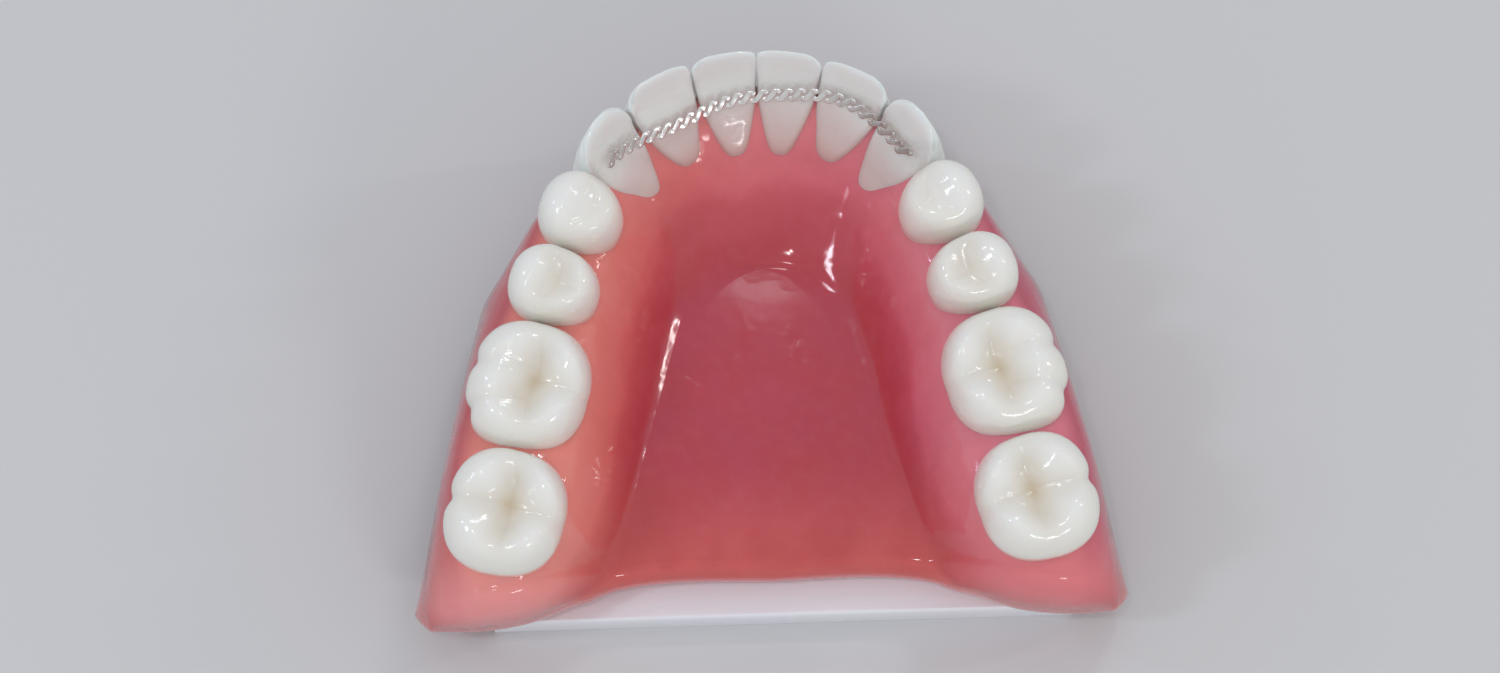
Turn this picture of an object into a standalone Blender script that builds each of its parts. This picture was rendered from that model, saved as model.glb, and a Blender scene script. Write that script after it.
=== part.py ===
"""Lower jaw demonstration model with a chain retainer bonded behind its six front teeth.

Z is up, Y points to the front teeth and X runs across the jaw. The origin is the middle of the
plate's underside. All sizes are in metres.
"""

import math

import bmesh
import bpy
import numpy as np
from mathutils import Matrix

MM = 0.001

# Heights above the table, and how far below the biting edges the gum line lies
PLATE_THICKNESS = 3.0 * MM
FLOOR_HEIGHT = 7.6 * MM
BITE_HEIGHT = 20.5 * MM
HEEL_DROP = 7.9 * MM
TONGUE_MARGIN_DROP = 8.6 * MM

# The arch is a hanging-chain curve through the middle of the teeth, seen from above
ARCH_HALF_WIDTH = 22.4 * MM
ARCH_DEPTH = 39.9 * MM
ARCH_ROUNDNESS = 6.5 * MM
ARCH_FRONT_Y = 23.9 * MM

# Outline of the pink base where it meets the plate
BASE_FRONT_Y = 27.5 * MM
FRONT_CORNER_HALF_WIDTH = 14.5 * MM
FRONT_CORNER_SETBACK = 4.0 * MM
SIDE_CORNER_OVERHANG = 3.2 * MM
SIDE_CORNER_Y = 7.2 * MM
HEEL_OVERHANG = 9.0 * MM
CORNER_ROUNDING = 1.4 * MM
PLATE_INSET = 5.8 * MM
PLATE_REAR_Y = -21.7 * MM
PLATE_SHIFT_X = 1.0 * MM
PLATE_EDGE_BEVEL = 0.35 * MM

# Rear edge of the base's upper face: shares of the way out to the heel's corner, and Y
REAR_EDGE = ((0.0, -17.8 * MM), (0.366, -17.8 * MM), (0.525, -18.9 * MM), (0.685, -20.9 * MM),
             (0.828, -21.4 * MM), (1.0, -20.8 * MM))
REAR_BULGE = 2.0 * MM
REAR_TUCK = 1.7 * MM
REAR_UPPER_SHARE = 0.4
REAR_FULL_HEIGHT = 6.0 * MM

# The hollow between the two sides of the arch, for the tongue
FLOOR_FRONT_HALF_WIDTH = 6.2 * MM
FLOOR_SIDE_INSET = 8.5 * MM
FLOOR_FRONT_Y = 9.9 * MM
FLOOR_CORNER_SETBACK = 0.9 * MM
FLOOR_SPINE_SETBACK = 1.6 * MM
FLOOR_ROUNDING = 5.2 * MM
FLOOR_STEP = 0.3 * MM
FLOOR_CROWDING = 1.3

# The gum's walls, as shares of the way in and of the way up or down
OUTER_WALL = ((0.0, 0.0), (0.12, 0.3), (0.32, 0.6), (0.58, 0.82), (1.0, 1.0))
TONGUE_WALL = ((0.34, 0.38), (0.6, 0.68), (0.82, 0.89), (1.0, 1.0))
FLOOR_SHARES = (0.06, 0.5, 1.0)

# Clearances
TOOTH_GAP = 0.08 * MM
SOCKET_GAP = 0.3 * MM
SEAT_GAP = 0.3 * MM
PAD_GAP = 0.1 * MM

# How deep the teeth are set, and how far the gum rises between them
ROOT_DEPTH = 4.5 * MM
MARGIN_RISE_BACK = 2.0 * MM
CORE_RISE_FRONT = 3.7 * MM
CORE_RISE_BACK = 1.6 * MM
HEEL_RISE = 1.2 * MM
# The gum between the teeth at four levels: how far it stays inside the front teeth's faces, and its
# share of the back teeth's half depth
CORE_LEVELS = (0.0, 0.35, 0.7, 1.0)
CORE_LIP_INSETS = (-0.05 * MM, 0.3 * MM, 0.6 * MM, 1.0 * MM)
CORE_TONGUE_INSETS = (-0.05 * MM, 0.5 * MM, 0.85 * MM, 1.1 * MM)
CORE_BACK_SHARES = (0.94, 0.8, 0.55, 0.25)
HEEL_NARROWING = 0.8
HEEL_BLEND_FROM = 0.8

# The chain: flat S-shaped links in two layers, this far below the biting edges of the six teeth from
# left to right
CHAIN_DROPS = (3.5 * MM, 4.2 * MM, 4.1 * MM, 3.7 * MM, 2.9 * MM, 3.5 * MM)
CHAIN_LINKS = 27
CHAIN_PAST_CANINE = 1.5 * MM
CHAIN_CLEARANCE = 0.13 * MM
CHAIN_EXTRA_LEAN_DEG = 12.0
STRIP_WIDTH = 0.38 * MM
STRIP_THICKNESS = 0.16 * MM
LAYER_GAP = 0.05 * MM
LINK_HALF_HEIGHT = 0.4 * MM

# The clear adhesive pads under the chain
PAD_HALF_WIDTH_DEG = 44.0
PAD_HALF_HEIGHT = 0.8 * MM
PAD_THICKNESS = 0.15 * MM

# Front teeth. Offsets from the arch line are positive towards the lips and negative towards the tongue
FRONT_TEETH = {
    "central_incisor": {
        "width": 5.67 * MM, "crown": 9.0 * MM, "neck_share": 0.72,
        "labial_neck": -0.4 * MM, "labial_belly": 1.1 * MM, "labial_edge": 0.85 * MM,
        "lingual_neck": -5.5 * MM, "lingual_mid": -1.35 * MM, "edge_thickness": 0.5 * MM,
        "peak": 0.0 * MM, "mesial_corner": 0.3 * MM, "distal_corner": 0.6 * MM, "contact_out": 0.1 * MM,
        "fan_radius": 15.0 * MM,
    },
    "lateral_incisor": {
        "width": 6.13 * MM, "crown": 9.2 * MM, "neck_share": 0.72,
        "labial_neck": 0.1 * MM, "labial_belly": 1.7 * MM, "labial_edge": 1.35 * MM,
        "lingual_neck": -4.5 * MM, "lingual_mid": -1.1 * MM, "edge_thickness": 0.55 * MM,
        "peak": 0.0 * MM, "mesial_corner": 0.35 * MM, "distal_corner": 1.3 * MM, "contact_out": 0.4 * MM,
        "fan_radius": 15.0 * MM,
    },
    "canine": {
        "width": 6.1 * MM, "crown": 10.7 * MM, "neck_share": 0.74,
        "labial_neck": 1.3 * MM, "labial_belly": 2.8 * MM, "labial_edge": 2.1 * MM,
        "lingual_neck": -4.9 * MM, "lingual_mid": -1.0 * MM, "edge_thickness": 0.9 * MM,
        "peak": 1.5 * MM, "mesial_corner": 0.3 * MM, "distal_corner": 0.7 * MM, "contact_out": 0.7 * MM,
        "fan_radius": 17.0 * MM,
    },
}

# Back teeth. Cusps are (distal share, outward share, drop below the bite height), the shares taken
# from the tooth's middle to its edge. Notches are (angle from distal towards the cheek, depth share).
# Turn is in degrees from the arch's own direction, the mesial end moving towards the cheek
BACK_TEETH = {
    "first_premolar": {
        "width": 7.2 * MM, "depth": 7.5 * MM, "crown": 8.5 * MM, "squareness": 2.2, "turn": 0.0,
        "cusps": ((-0.05, 0.25, 0.0 * MM), (0.05, -0.65, 1.9 * MM)), "pit": (0.0, -0.3),
        "margin_drop": 1.5 * MM, "softness": 0.6 * MM, "tongue_narrowing": 0.15, "notches": (),
    },
    "second_premolar": {
        "width": 7.1 * MM, "depth": 8.0 * MM, "crown": 8.0 * MM, "squareness": 2.3, "turn": 0.0,
        "cusps": ((-0.10, 0.38, 0.2 * MM), (-0.15, -0.58, 0.8 * MM), (0.5, -0.5, 1.0 * MM)),
        "pit": (0.0, -0.12),
        "margin_drop": 1.2 * MM, "softness": 0.45 * MM, "tongue_narrowing": 0.13, "notches": (),
    },
    "first_molar": {
        "width": 11.6 * MM, "depth": 10.5 * MM, "crown": 7.75 * MM, "squareness": 2.5, "turn": 2.0,
        "cusps": (
            (-0.50, 0.38, 0.3 * MM), (0.06, 0.46, 0.4 * MM), (0.56, 0.34, 0.6 * MM),
            (-0.42, -0.62, 0.0 * MM), (0.42, -0.60, 0.2 * MM),
        ),
        "pit": (0.05, -0.16),
        "margin_drop": 0.95 * MM, "softness": 0.3 * MM, "tongue_narrowing": 0.05,
        "notches": ((101.0, 0.08), (58.0, 0.075), (-88.0, 0.01)),
    },
    "second_molar": {
        "width": 11.0 * MM, "depth": 10.2 * MM, "crown": 7.3 * MM, "squareness": 2.5, "turn": 5.0,
        "cusps": (
            (-0.46, 0.44, 0.2 * MM), (0.44, 0.44, 0.4 * MM),
            (-0.46, -0.60, 0.0 * MM), (0.44, -0.58, 0.2 * MM),
        ),
        "pit": (0.0, -0.12),
        "margin_drop": 0.95 * MM, "softness": 0.3 * MM, "tongue_narrowing": 0.05,
        "notches": ((91.0, 0.085), (-86.0, 0.01)),
    },
}
PEAK_SHIFT = 0.2
CUSP_SLOPE = 0.44
RIDGE_FALL = 0.8 * MM
TABLE_ROUNDNESS = 6.0
CUSP_ROUNDING = 1.15 * MM
PIT_DROP = 1.6 * MM
WIDEST_SHARE = 0.46
NECK_SHARE = 0.8
NOTCH_WIDTH = 0.15
NARROW_FROM = 0.2

# How finely each kind of piece is meshed
MOLAR_SIDES = 28
PREMOLAR_SIDES = 22
FRONT_SIDES = 20
GUM_ROWS = 40

ALL_TEETH = {**FRONT_TEETH, **BACK_TEETH}
TOOTH_ORDER = list(ALL_TEETH)
SIDES = {"left": -1, "right": 1}


def smooth_through(knots, values, at):
    """A smooth curve through the given points, made of cubic pieces."""
    knots = np.asarray(knots, float)
    values = np.asarray(values, float)
    slopes = np.gradient(values, knots, axis=0)
    at = np.asarray(at, float)
    left = np.clip(np.searchsorted(knots, at, side="right") - 1, 0, len(knots) - 2)
    span = knots[left + 1] - knots[left]
    t = np.clip((at - knots[left]) / span, -0.5, 1.5)
    spread = (slice(None),) * t.ndim + (None,) * (values.ndim - 1)
    t, span = t[spread], span[spread]
    rise = (2 * t**3 - 3 * t**2 + 1) * values[left] + (3 * t**2 - 2 * t**3) * values[left + 1]
    lean = (t**3 - 2 * t**2 + t) * slopes[left] + (t**3 - t**2) * slopes[left + 1]
    return rise + span * lean


def ease(x):
    """Rises smoothly from 0 to 1 while x goes from 0 to 1."""
    x = np.clip(x, 0.0, 1.0)
    return x * x * (3.0 - 2.0 * x)


def arch_samples():
    """Points of one half of the arch line, with the length along it from the midline."""
    x = np.linspace(0.0, 1.35 * ARCH_HALF_WIDTH, 3000)
    drop = ARCH_DEPTH / (math.cosh(ARCH_HALF_WIDTH / ARCH_ROUNDNESS) - 1.0)
    y = ARCH_FRONT_Y - drop * (np.cosh(x / ARCH_ROUNDNESS) - 1.0)
    length = np.concatenate([[0.0], np.cumsum(np.hypot(np.diff(x), np.diff(y)))])
    return x, y, length


ARCH_X, ARCH_Y, ARCH_LENGTH = arch_samples()


def arch_frame(s):
    """Point of the arch at signed length s, its direction towards +X and its outward direction."""
    s = np.asarray(s, float)
    side = np.where(s < 0.0, -1.0, 1.0)
    x = np.interp(np.abs(s), ARCH_LENGTH, ARCH_X)
    y = np.interp(np.abs(s), ARCH_LENGTH, ARCH_Y)
    slope = np.interp(np.abs(s), ARCH_LENGTH, np.gradient(ARCH_Y, ARCH_X))
    along = np.stack([np.ones_like(slope), side * slope], -1)
    along = along / np.linalg.norm(along, axis=-1, keepdims=True)
    out = np.stack([-along[..., 1], along[..., 0]], -1)
    return np.stack([side * x, y], -1), along, out


def tooth_middles():
    """Length along the arch from the midline to the middle of each tooth."""
    middles = {}
    reach = 0.0
    for kind in TOOTH_ORDER:
        width = ALL_TEETH[kind]["width"]
        middles[kind] = reach + width / 2
        reach += width
    return middles, reach


TOOTH_MIDDLE, TOOTH_REACH = tooth_middles()


def labial_offset(size, up):
    """Lip face of a front tooth at a share of its height."""
    offsets = (size["labial_neck"], size["labial_belly"], size["labial_edge"])
    return smooth_through((0.0, 0.55, 1.0), offsets, up)


def lingual_offset(size, up):
    """Tongue face of a front tooth at a share of its height: a slope above the neck, then the edge."""
    edge_in = size["labial_edge"] - size["edge_thickness"]
    mid_low = 0.6 * size["lingual_mid"] + 0.4 * size["lingual_neck"]
    mid_high = 0.35 * size["lingual_mid"] + 0.65 * edge_in
    low = size["lingual_neck"]
    offsets = (low, 0.93 * low, mid_low, size["lingual_mid"], mid_high, edge_in)
    return smooth_through((0.0, 0.13, 0.35, 0.6, 0.83, 1.0), offsets, up)


def front_section(size, angle, h):
    """Distal and outward offsets of a front tooth at an angle and a share h of its crown height."""
    up = np.clip(h, 0.0, 1.0)
    labial, lingual = labial_offset(size, up), lingual_offset(size, up)
    share = 1.0 - (1.0 - size["neck_share"]) * np.clip(1.0 - up / 0.5, 0.0, 1.0) ** 1.6
    half_width = 0.5 * size["width"] * share
    power = 2.0 / (2.9 + 4.1 * ease((up - 0.1) / 0.5))
    neck_middle = 0.58 * size["labial_neck"] + 0.42 * size["lingual_neck"]
    edge_middle = size["labial_edge"] - 0.5 * size["edge_thickness"]
    contact = size["contact_out"]
    middle = smooth_through((0.0, 0.6, 0.85, 1.0), (neck_middle, contact, contact, edge_middle), up)
    cos, sin = np.cos(angle), np.sin(angle)
    reach = np.where(sin > 0.0, labial - middle, middle - lingual)
    outward = middle + reach * np.sign(sin) * np.abs(sin) ** power
    fan = 1.0 + (outward - contact) / size["fan_radius"]
    distal = half_width * fan * np.sign(cos) * np.abs(cos) ** power
    return distal, outward, middle


def front_tooth_rings(size):
    """Rings of a front tooth from the root's end to the biting edge, in the tooth's own frame."""
    angle = np.linspace(0.0, 2.0 * math.pi, FRONT_SIDES, endpoint=False)
    rings = []
    for depth, shrink in ((ROOT_DEPTH, 0.6), (0.85 * ROOT_DEPTH, 0.78)):
        distal, outward, middle = front_section(size, angle, 0.0)
        ring = (shrink * distal, middle + shrink * (outward - middle), np.full_like(angle, -depth))
        rings.append(np.stack(ring, -1))
    for h, inset in ((0.0, 0.0), (0.16, 0.0), (0.34, 0.0), (0.52, 0.0), (0.7, 0.0), (0.84, 0.0),
                     (0.95, 0.0), (0.985, 0.29), (1.0, 0.8)):
        distal, outward, middle = front_section(size, angle, h)
        share = distal / (0.5 * size["width"])
        corner = np.where(share > 0.0, size["distal_corner"], size["mesial_corner"])
        drop = size["peak"] * np.abs(share + PEAK_SHIFT) ** 1.3 + corner * np.abs(share) ** 4
        height = h * size["crown"] - drop * ease((h - 0.45) / 0.5)
        side_inset = 1.0 - 0.22 * inset
        ring = (side_inset * distal, middle + (1.0 - inset) * (outward - middle), height)
        rings.append(np.stack(ring, -1))
    low_end = rings[0].mean(axis=0)
    _, _, middle = front_section(size, np.array([0.0]), 1.0)
    high_end = np.array([0.0, float(middle), size["crown"] - size["peak"] * PEAK_SHIFT**1.3])
    return rings, low_end, high_end


def bite_height(size, u, v):
    """Height of a back tooth's biting face above its neck: a soft maximum of rounded ridges."""
    half_width, half_depth = (size["width"] - TOOTH_GAP) / 2, size["depth"] / 2
    x, y = u * half_width, v * half_depth
    ridges = []
    pit_u, pit_v = size["pit"]
    for cusp_u, cusp_v, drop in size["cusps"]:
        foot = ((0.45 * cusp_u + 0.55 * pit_u) * half_width, (0.45 * cusp_v + 0.55 * pit_v) * half_depth)
        ridges.append((cusp_u * half_width, cusp_v * half_depth, drop, *foot, drop + RIDGE_FALL))
    for end in (-0.74, 0.74):
        edge, reach, drop = end * half_width, 0.42 * half_depth, size["margin_drop"]
        ridges.append((edge, -reach, drop, edge, reach, drop))
    total = np.exp(-PIT_DROP / size["softness"]) * np.ones_like(x)
    for x0, y0, drop0, x1, y1, drop1 in ridges:
        dx, dy = x1 - x0, y1 - y0
        t = np.clip(((x - x0) * dx + (y - y0) * dy) / (dx * dx + dy * dy), 0.0, 1.0)
        away = np.hypot(x - x0 - t * dx, y - y0 - t * dy)
        fall = CUSP_SLOPE * (np.hypot(away, CUSP_ROUNDING) - CUSP_ROUNDING)
        total += np.exp(-(drop0 + t * (drop1 - drop0) + fall) / size["softness"])
    return size["crown"] + size["softness"] * np.log(total)


def back_outline(size, angle):
    """Outline of a back tooth, as shares of its half width and half depth."""
    n = size["squareness"]
    radius = (np.abs(np.cos(angle)) ** n + np.abs(np.sin(angle)) ** n) ** (-1.0 / n)
    for notch_deg, depth in size["notches"]:
        away = np.angle(np.exp(1j * (angle - math.radians(notch_deg))))
        radius = radius * (1.0 - depth * np.exp(-((away / NOTCH_WIDTH) ** 2)))
    u, v = radius * np.cos(angle), radius * np.sin(angle)
    return u * (1.0 - size["tongue_narrowing"] * np.maximum(0.0, NARROW_FROM - v)), v


def back_tooth_rings(size, sides):
    """Rings of a back tooth: root stub, walls out to the widest line, then the biting face."""
    angle = np.linspace(0.0, 2.0 * math.pi, sides, endpoint=False)
    u, v = back_outline(size, angle)
    half_width, half_depth = (size["width"] - TOOTH_GAP) / 2, size["depth"] / 2
    rim = WIDEST_SHARE * size["crown"]
    rings = []
    for height, share in ((-ROOT_DEPTH, 0.7 * NECK_SHARE), (-0.85 * ROOT_DEPTH, 0.85 * NECK_SHARE),
                          (0.0, NECK_SHARE), (0.5 * rim, 0.3 * NECK_SHARE + 0.7), (rim, 1.0)):
        ring = (share * half_width * u, share * half_depth * v, np.full_like(u, height))
        rings.append(np.stack(ring, -1))
    for share in (0.965, 0.87, 0.72, 0.54, 0.36, 0.18):
        dome = math.sqrt(1.0 - share**TABLE_ROUNDNESS)
        height = rim + dome * (bite_height(size, share * u, share * v) - rim)
        rings.append(np.stack((share * half_width * u, share * half_depth * v, height), -1))
    low_end = np.array([0.0, 0.0, -ROOT_DEPTH])
    high_end = np.array([0.0, 0.0, float(bite_height(size, np.zeros(1), np.zeros(1))[0])])
    return rings, low_end, high_end


def stack_rings(bm, rings, low_end, high_end):
    """A closed skin through the rings, with a point at each end."""
    levels = [[bm.verts.new(point) for point in ring] for ring in rings]
    low = bm.verts.new(low_end)
    high = bm.verts.new(high_end)
    for lower, upper in zip(levels, levels[1:]):
        for i in range(len(lower)):
            j = (i + 1) % len(lower)
            bm.faces.new((lower[i], lower[j], upper[j], upper[i]))
    for i in range(len(levels[0])):
        j = (i + 1) % len(levels[0])
        bm.faces.new((low, levels[0][j], levels[0][i]))
        bm.faces.new((high, levels[-1][i], levels[-1][j]))


def tooth_rings(kind):
    if kind in FRONT_TEETH:
        return front_tooth_rings(FRONT_TEETH[kind])
    sides = MOLAR_SIDES if "molar" in kind.split("_") else PREMOLAR_SIDES
    return back_tooth_rings(BACK_TEETH[kind], sides)


def neck_height(kind):
    return BITE_HEIGHT - ALL_TEETH[kind]["crown"]


def tooth_place(kind, side):
    """Where a tooth stands: the point on the arch at its neck, and its turn about Z."""
    at, along, _ = arch_frame(side * TOOTH_MIDDLE[kind])
    turn = side * math.radians(ALL_TEETH[kind].get("turn", 0.0))
    return (float(at[0]), float(at[1]), neck_height(kind)), math.atan2(along[1], along[0]) + turn


def add_tooth(bm, kind, side):
    rings, low_end, high_end = tooth_rings(kind)
    mirror = np.array([side, 1.0, 1.0])
    stack_rings(bm, [ring * mirror for ring in rings], low_end * mirror, high_end * mirror)
    bmesh.ops.recalc_face_normals(bm, faces=bm.faces)


def path_through(corners, share, rounding):
    """Points at shares of the length of some straight runs, their corners rounded by averaging."""
    corners = np.asarray(corners)
    steps = np.concatenate([[0.0], np.cumsum(np.linalg.norm(np.diff(corners, axis=0), axis=1))])
    wanted = (share * steps[-1])[:, None] + np.linspace(-rounding, rounding, 25)[None, :]
    x = np.sign(wanted) * np.interp(np.abs(wanted), steps, corners[:, 0])
    y = np.interp(np.abs(wanted), steps, corners[:, 1])
    points = np.stack([x.mean(1), y.mean(1)], -1)
    points[0, 0] = 0.0
    points[-1] = corners[-1]
    return points


def half_outline(inset, rear_y, count):
    """Right half of the base outline from the front midline to the heel, drawn in by inset."""
    front_x = np.linspace(0.0, FRONT_CORNER_HALF_WIDTH - 0.6 * inset, 8)
    front_share = front_x / front_x[-1]
    front_y = BASE_FRONT_Y - inset - FRONT_CORNER_SETBACK * front_share**2
    corners = list(np.stack([front_x, front_y], -1))
    corners.append((ARCH_HALF_WIDTH + SIDE_CORNER_OVERHANG - inset, SIDE_CORNER_Y - 0.3 * inset))
    corners.append((ARCH_HALF_WIDTH + HEEL_OVERHANG - inset, rear_y))
    return path_through(corners, np.linspace(0.0, 1.0, count), CORNER_ROUNDING)


def rear_edge(x):
    """Y of the rear edge of the upper face: forward at the hollow, with a rounded lobe at each heel."""
    shares, y = zip(*REAR_EDGE)
    return smooth_through(shares, y, np.abs(x) / (ARCH_HALF_WIDTH + HEEL_OVERHANG))


def floor_edge(share):
    """Edge of the hollow's floor, from its front midline round a soft corner and straight to its rear."""
    half_width = ARCH_HALF_WIDTH - FLOOR_SIDE_INSET
    corners = [(0.0, FLOOR_FRONT_Y), (FLOOR_FRONT_HALF_WIDTH, FLOOR_FRONT_Y - FLOOR_CORNER_SETBACK),
               (half_width, rear_edge(half_width))]
    return path_through(corners, share, FLOOR_ROUNDING)


def core_offsets(kind):
    """Gum between the teeth at the core's levels, held back from the tooth faces on both sides."""
    levels = np.array(CORE_LEVELS)
    if kind in FRONT_TEETH:
        size = FRONT_TEETH[kind]
        margin = BITE_HEIGHT - TONGUE_MARGIN_DROP - neck_height(kind)
        lip_share = levels * (margin + CORE_RISE_FRONT) / size["crown"]
        tongue_share = (margin + levels * CORE_RISE_FRONT) / size["crown"]
        outer = labial_offset(size, lip_share) - np.array(CORE_LIP_INSETS)
        return outer, -lingual_offset(size, tongue_share) - np.array(CORE_TONGUE_INSETS)
    half = BACK_TEETH[kind]["depth"] / 2 * np.array(CORE_BACK_SHARES)
    return half, half


def gum_section_rows():
    """Points of the gum's upper skin: rows along the right half of the arch, columns across it."""
    base_z = PLATE_THICKNESS + SEAT_GAP
    share = np.linspace(0.0, 1.0, GUM_ROWS)
    s = share * np.interp(-rear_edge(ARCH_HALF_WIDTH), -ARCH_Y, ARCH_LENGTH)
    at, _, out = arch_frame(s)
    lengths = [0.0] + [TOOTH_MIDDLE[kind] for kind in TOOTH_ORDER] + [TOOTH_REACH]
    heel = BITE_HEIGHT - HEEL_DROP
    necks, margins, rises = [], [], []
    for kind in TOOTH_ORDER:
        back = kind in BACK_TEETH
        necks.append(neck_height(kind) + MARGIN_RISE_BACK * back)
        margins.append(necks[-1] if back else BITE_HEIGHT - TONGUE_MARGIN_DROP)
        rises.append(CORE_RISE_BACK if back else CORE_RISE_FRONT)
    cores = [core_offsets(kind) for kind in TOOTH_ORDER]
    outer = [core[0] for core in cores]
    inner = [core[1] for core in cores]
    neck = smooth_through(lengths, necks[:1] + necks + [heel], s)
    margin = smooth_through(lengths, margins[:1] + margins + [heel], s)
    rise = smooth_through(lengths, rises[:1] + rises + [HEEL_RISE], s)
    outer = smooth_through(lengths, outer[:1] + outer + [HEEL_NARROWING * outer[-1]], s)
    inner = smooth_through(lengths, inner[:1] + inner + [HEEL_NARROWING * inner[-1]], s)
    base = half_outline(0.0, rear_edge(ARCH_HALF_WIDTH + HEEL_OVERHANG), GUM_ROWS)
    crowded = share**FLOOR_CROWDING
    floor = floor_edge(crowded)
    spine_y = rear_edge(0.0) + (FLOOR_FRONT_Y - FLOOR_SPINE_SETBACK - rear_edge(0.0)) * (1.0 - crowded)
    spine = np.stack([np.zeros_like(spine_y), spine_y], -1)
    cheek_edge = at + out * outer[:, :1]
    tongue_edge = at - out * inner[:, :1]
    columns = []
    for across, up in OUTER_WALL:
        columns.append((base + across * (cheek_edge - base), base_z + up * (neck - base_z)))
    for k in (2, 3):
        columns.append((at + out * outer[:, k:k + 1], neck + CORE_LEVELS[k] * (margin + rise - neck)))
    for k in (3, 1, 0):
        columns.append((at - out * inner[:, k:k + 1], margin + CORE_LEVELS[k] * rise))
    fall = margin - FLOOR_HEIGHT - FLOOR_STEP
    for across, down in TONGUE_WALL:
        columns.append((tongue_edge + across * (floor - tongue_edge), margin - down * fall))
    for across in FLOOR_SHARES:
        columns.append((floor + across * (spine - floor), np.full_like(s, FLOOR_HEIGHT)))
    rows = np.stack([np.column_stack([flat, height]) for flat, height in columns], 1)
    shift = rear_edge(rows[-1, :, 0]) - rows[-1, :, 1]
    rows[:, :, 1] += shift * ease((share - HEEL_BLEND_FROM) / (1.0 - HEEL_BLEND_FROM))[:, None]
    rows[0, :, 0] = 0.0
    rows[:, -1, 0] = 0.0
    return rows


def rear_rows(last_row):
    """Rows that bulge out behind the upper face and then tuck in to the plate, along an ellipse."""
    base_z = PLATE_THICKNESS + SEAT_GAP
    room = last_row[:, 2] - base_z
    full = np.clip(room / REAR_FULL_HEIGHT, 0.0, 1.0)
    rows = []
    for turn in np.radians((30.0, 60.0, 90.0)):
        row = last_row.copy()
        row[:, 1] -= REAR_BULGE * full * math.sin(turn)
        row[:, 2] -= REAR_UPPER_SHARE * room * (1.0 - math.cos(turn))
        rows.append(row)
    widest = rows[-1]
    for turn in np.radians((35.0, 65.0, 90.0)):
        row = widest.copy()
        row[:, 1] += REAR_TUCK * full * (1.0 - math.cos(turn))
        row[:, 2] -= (1.0 - REAR_UPPER_SHARE) * room * math.sin(turn)
        rows.append(row)
    rows[-1][:, 2] = base_z
    return rows


def gum_skin():
    """The whole pink base before the sockets are cut, as one closed mesh."""
    rows = gum_section_rows()
    right = np.concatenate([rows, np.stack(rear_rows(rows[-1]))])
    bm = bmesh.new()
    grids = {}
    for name, side in SIDES.items():
        mirror = np.array([side, 1.0, 1.0])
        grids[name] = [[bm.verts.new(point * mirror) for point in row] for row in right]
    for name, grid in grids.items():
        for near, far in zip(grid, grid[1:]):
            for i in range(len(near) - 1):
                bm.faces.new((near[i], near[i + 1], far[i + 1], far[i]))
    bmesh.ops.remove_doubles(bm, verts=bm.verts, dist=0.001 * MM)
    degenerate = [face for face in bm.faces if face.calc_area() < 1e-14]
    bmesh.ops.delete(bm, geom=degenerate, context="FACES_ONLY")
    rim = [edge for edge in bm.edges if edge.is_boundary]
    bmesh.ops.contextual_create(bm, geom=rim)
    bmesh.ops.recalc_face_normals(bm, faces=bm.faces)
    return bm


def new_object(name, bm, colour, roughness, metallic=0.0, smooth=True, coat=0.0):
    """Turns a mesh under construction into a named object with a material of its own."""
    mesh = bpy.data.meshes.new(name)
    bm.to_mesh(mesh)
    bm.free()
    if smooth:
        mesh.shade_smooth()
        mesh.set_sharp_from_angle(angle=math.radians(50.0))
    material = bpy.data.materials.new(name + "_finish")
    material.use_nodes = True
    shader = material.node_tree.nodes["Principled BSDF"]
    shader.inputs["Base Color"].default_value = (*colour, 1.0)
    shader.inputs["Roughness"].default_value = roughness
    shader.inputs["Metallic"].default_value = metallic
    shader.inputs["Coat Weight"].default_value = coat
    mesh.materials.append(material)
    thing = bpy.data.objects.new(name, mesh)
    bpy.context.scene.collection.objects.link(thing)
    return thing


def make_socket_cutters():
    """Two cutters, each with every other tooth, so that no cutter crosses itself."""
    cutters = []
    places = [(kind, side) for side in SIDES.values() for kind in TOOTH_ORDER]
    for turn in (0, 1):
        whole = bmesh.new()
        for kind, side in places:
            if (TOOTH_ORDER.index(kind) + (side > 0)) % 2 != turn:
                continue
            bm = bmesh.new()
            add_tooth(bm, kind, side)
            bm.normal_update()
            for vert in bm.verts:
                vert.co += vert.normal * SOCKET_GAP
            (x, y, z), spin = tooth_place(kind, side)
            bmesh.ops.rotate(bm, verts=bm.verts, matrix=Matrix.Rotation(spin, 3, "Z"))
            bmesh.ops.translate(bm, verts=bm.verts, vec=(x, y, z))
            loose = bpy.data.meshes.new("socket_shape")
            bm.to_mesh(loose)
            bm.free()
            whole.from_mesh(loose)
            bpy.data.meshes.remove(loose)
        cutter = new_object("socket_cutter_" + str(turn), whole, (0.5, 0.5, 0.5), 0.5, smooth=False)
        cutter.hide_render = True
        cutter.display_type = "WIRE"
        cutters.append(cutter)
    return cutters


def make_gum_base():
    gum = new_object("gum_base", gum_skin(), (0.72, 0.16, 0.19), 0.18, coat=0.6)
    for cutter in make_socket_cutters():
        cut = gum.modifiers.new("sockets", "BOOLEAN")
        cut.operation = "DIFFERENCE"
        cut.solver = "MANIFOLD"
        cut.object = cutter
    return gum


def make_teeth():
    for side_name, side in SIDES.items():
        for kind in TOOTH_ORDER:
            bm = bmesh.new()
            add_tooth(bm, kind, side)
            tooth = new_object(side_name + "_" + kind, bm, (0.86, 0.85, 0.78), 0.22, coat=0.5)
            tooth.location, tooth.rotation_euler.z = tooth_place(kind, side)


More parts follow.
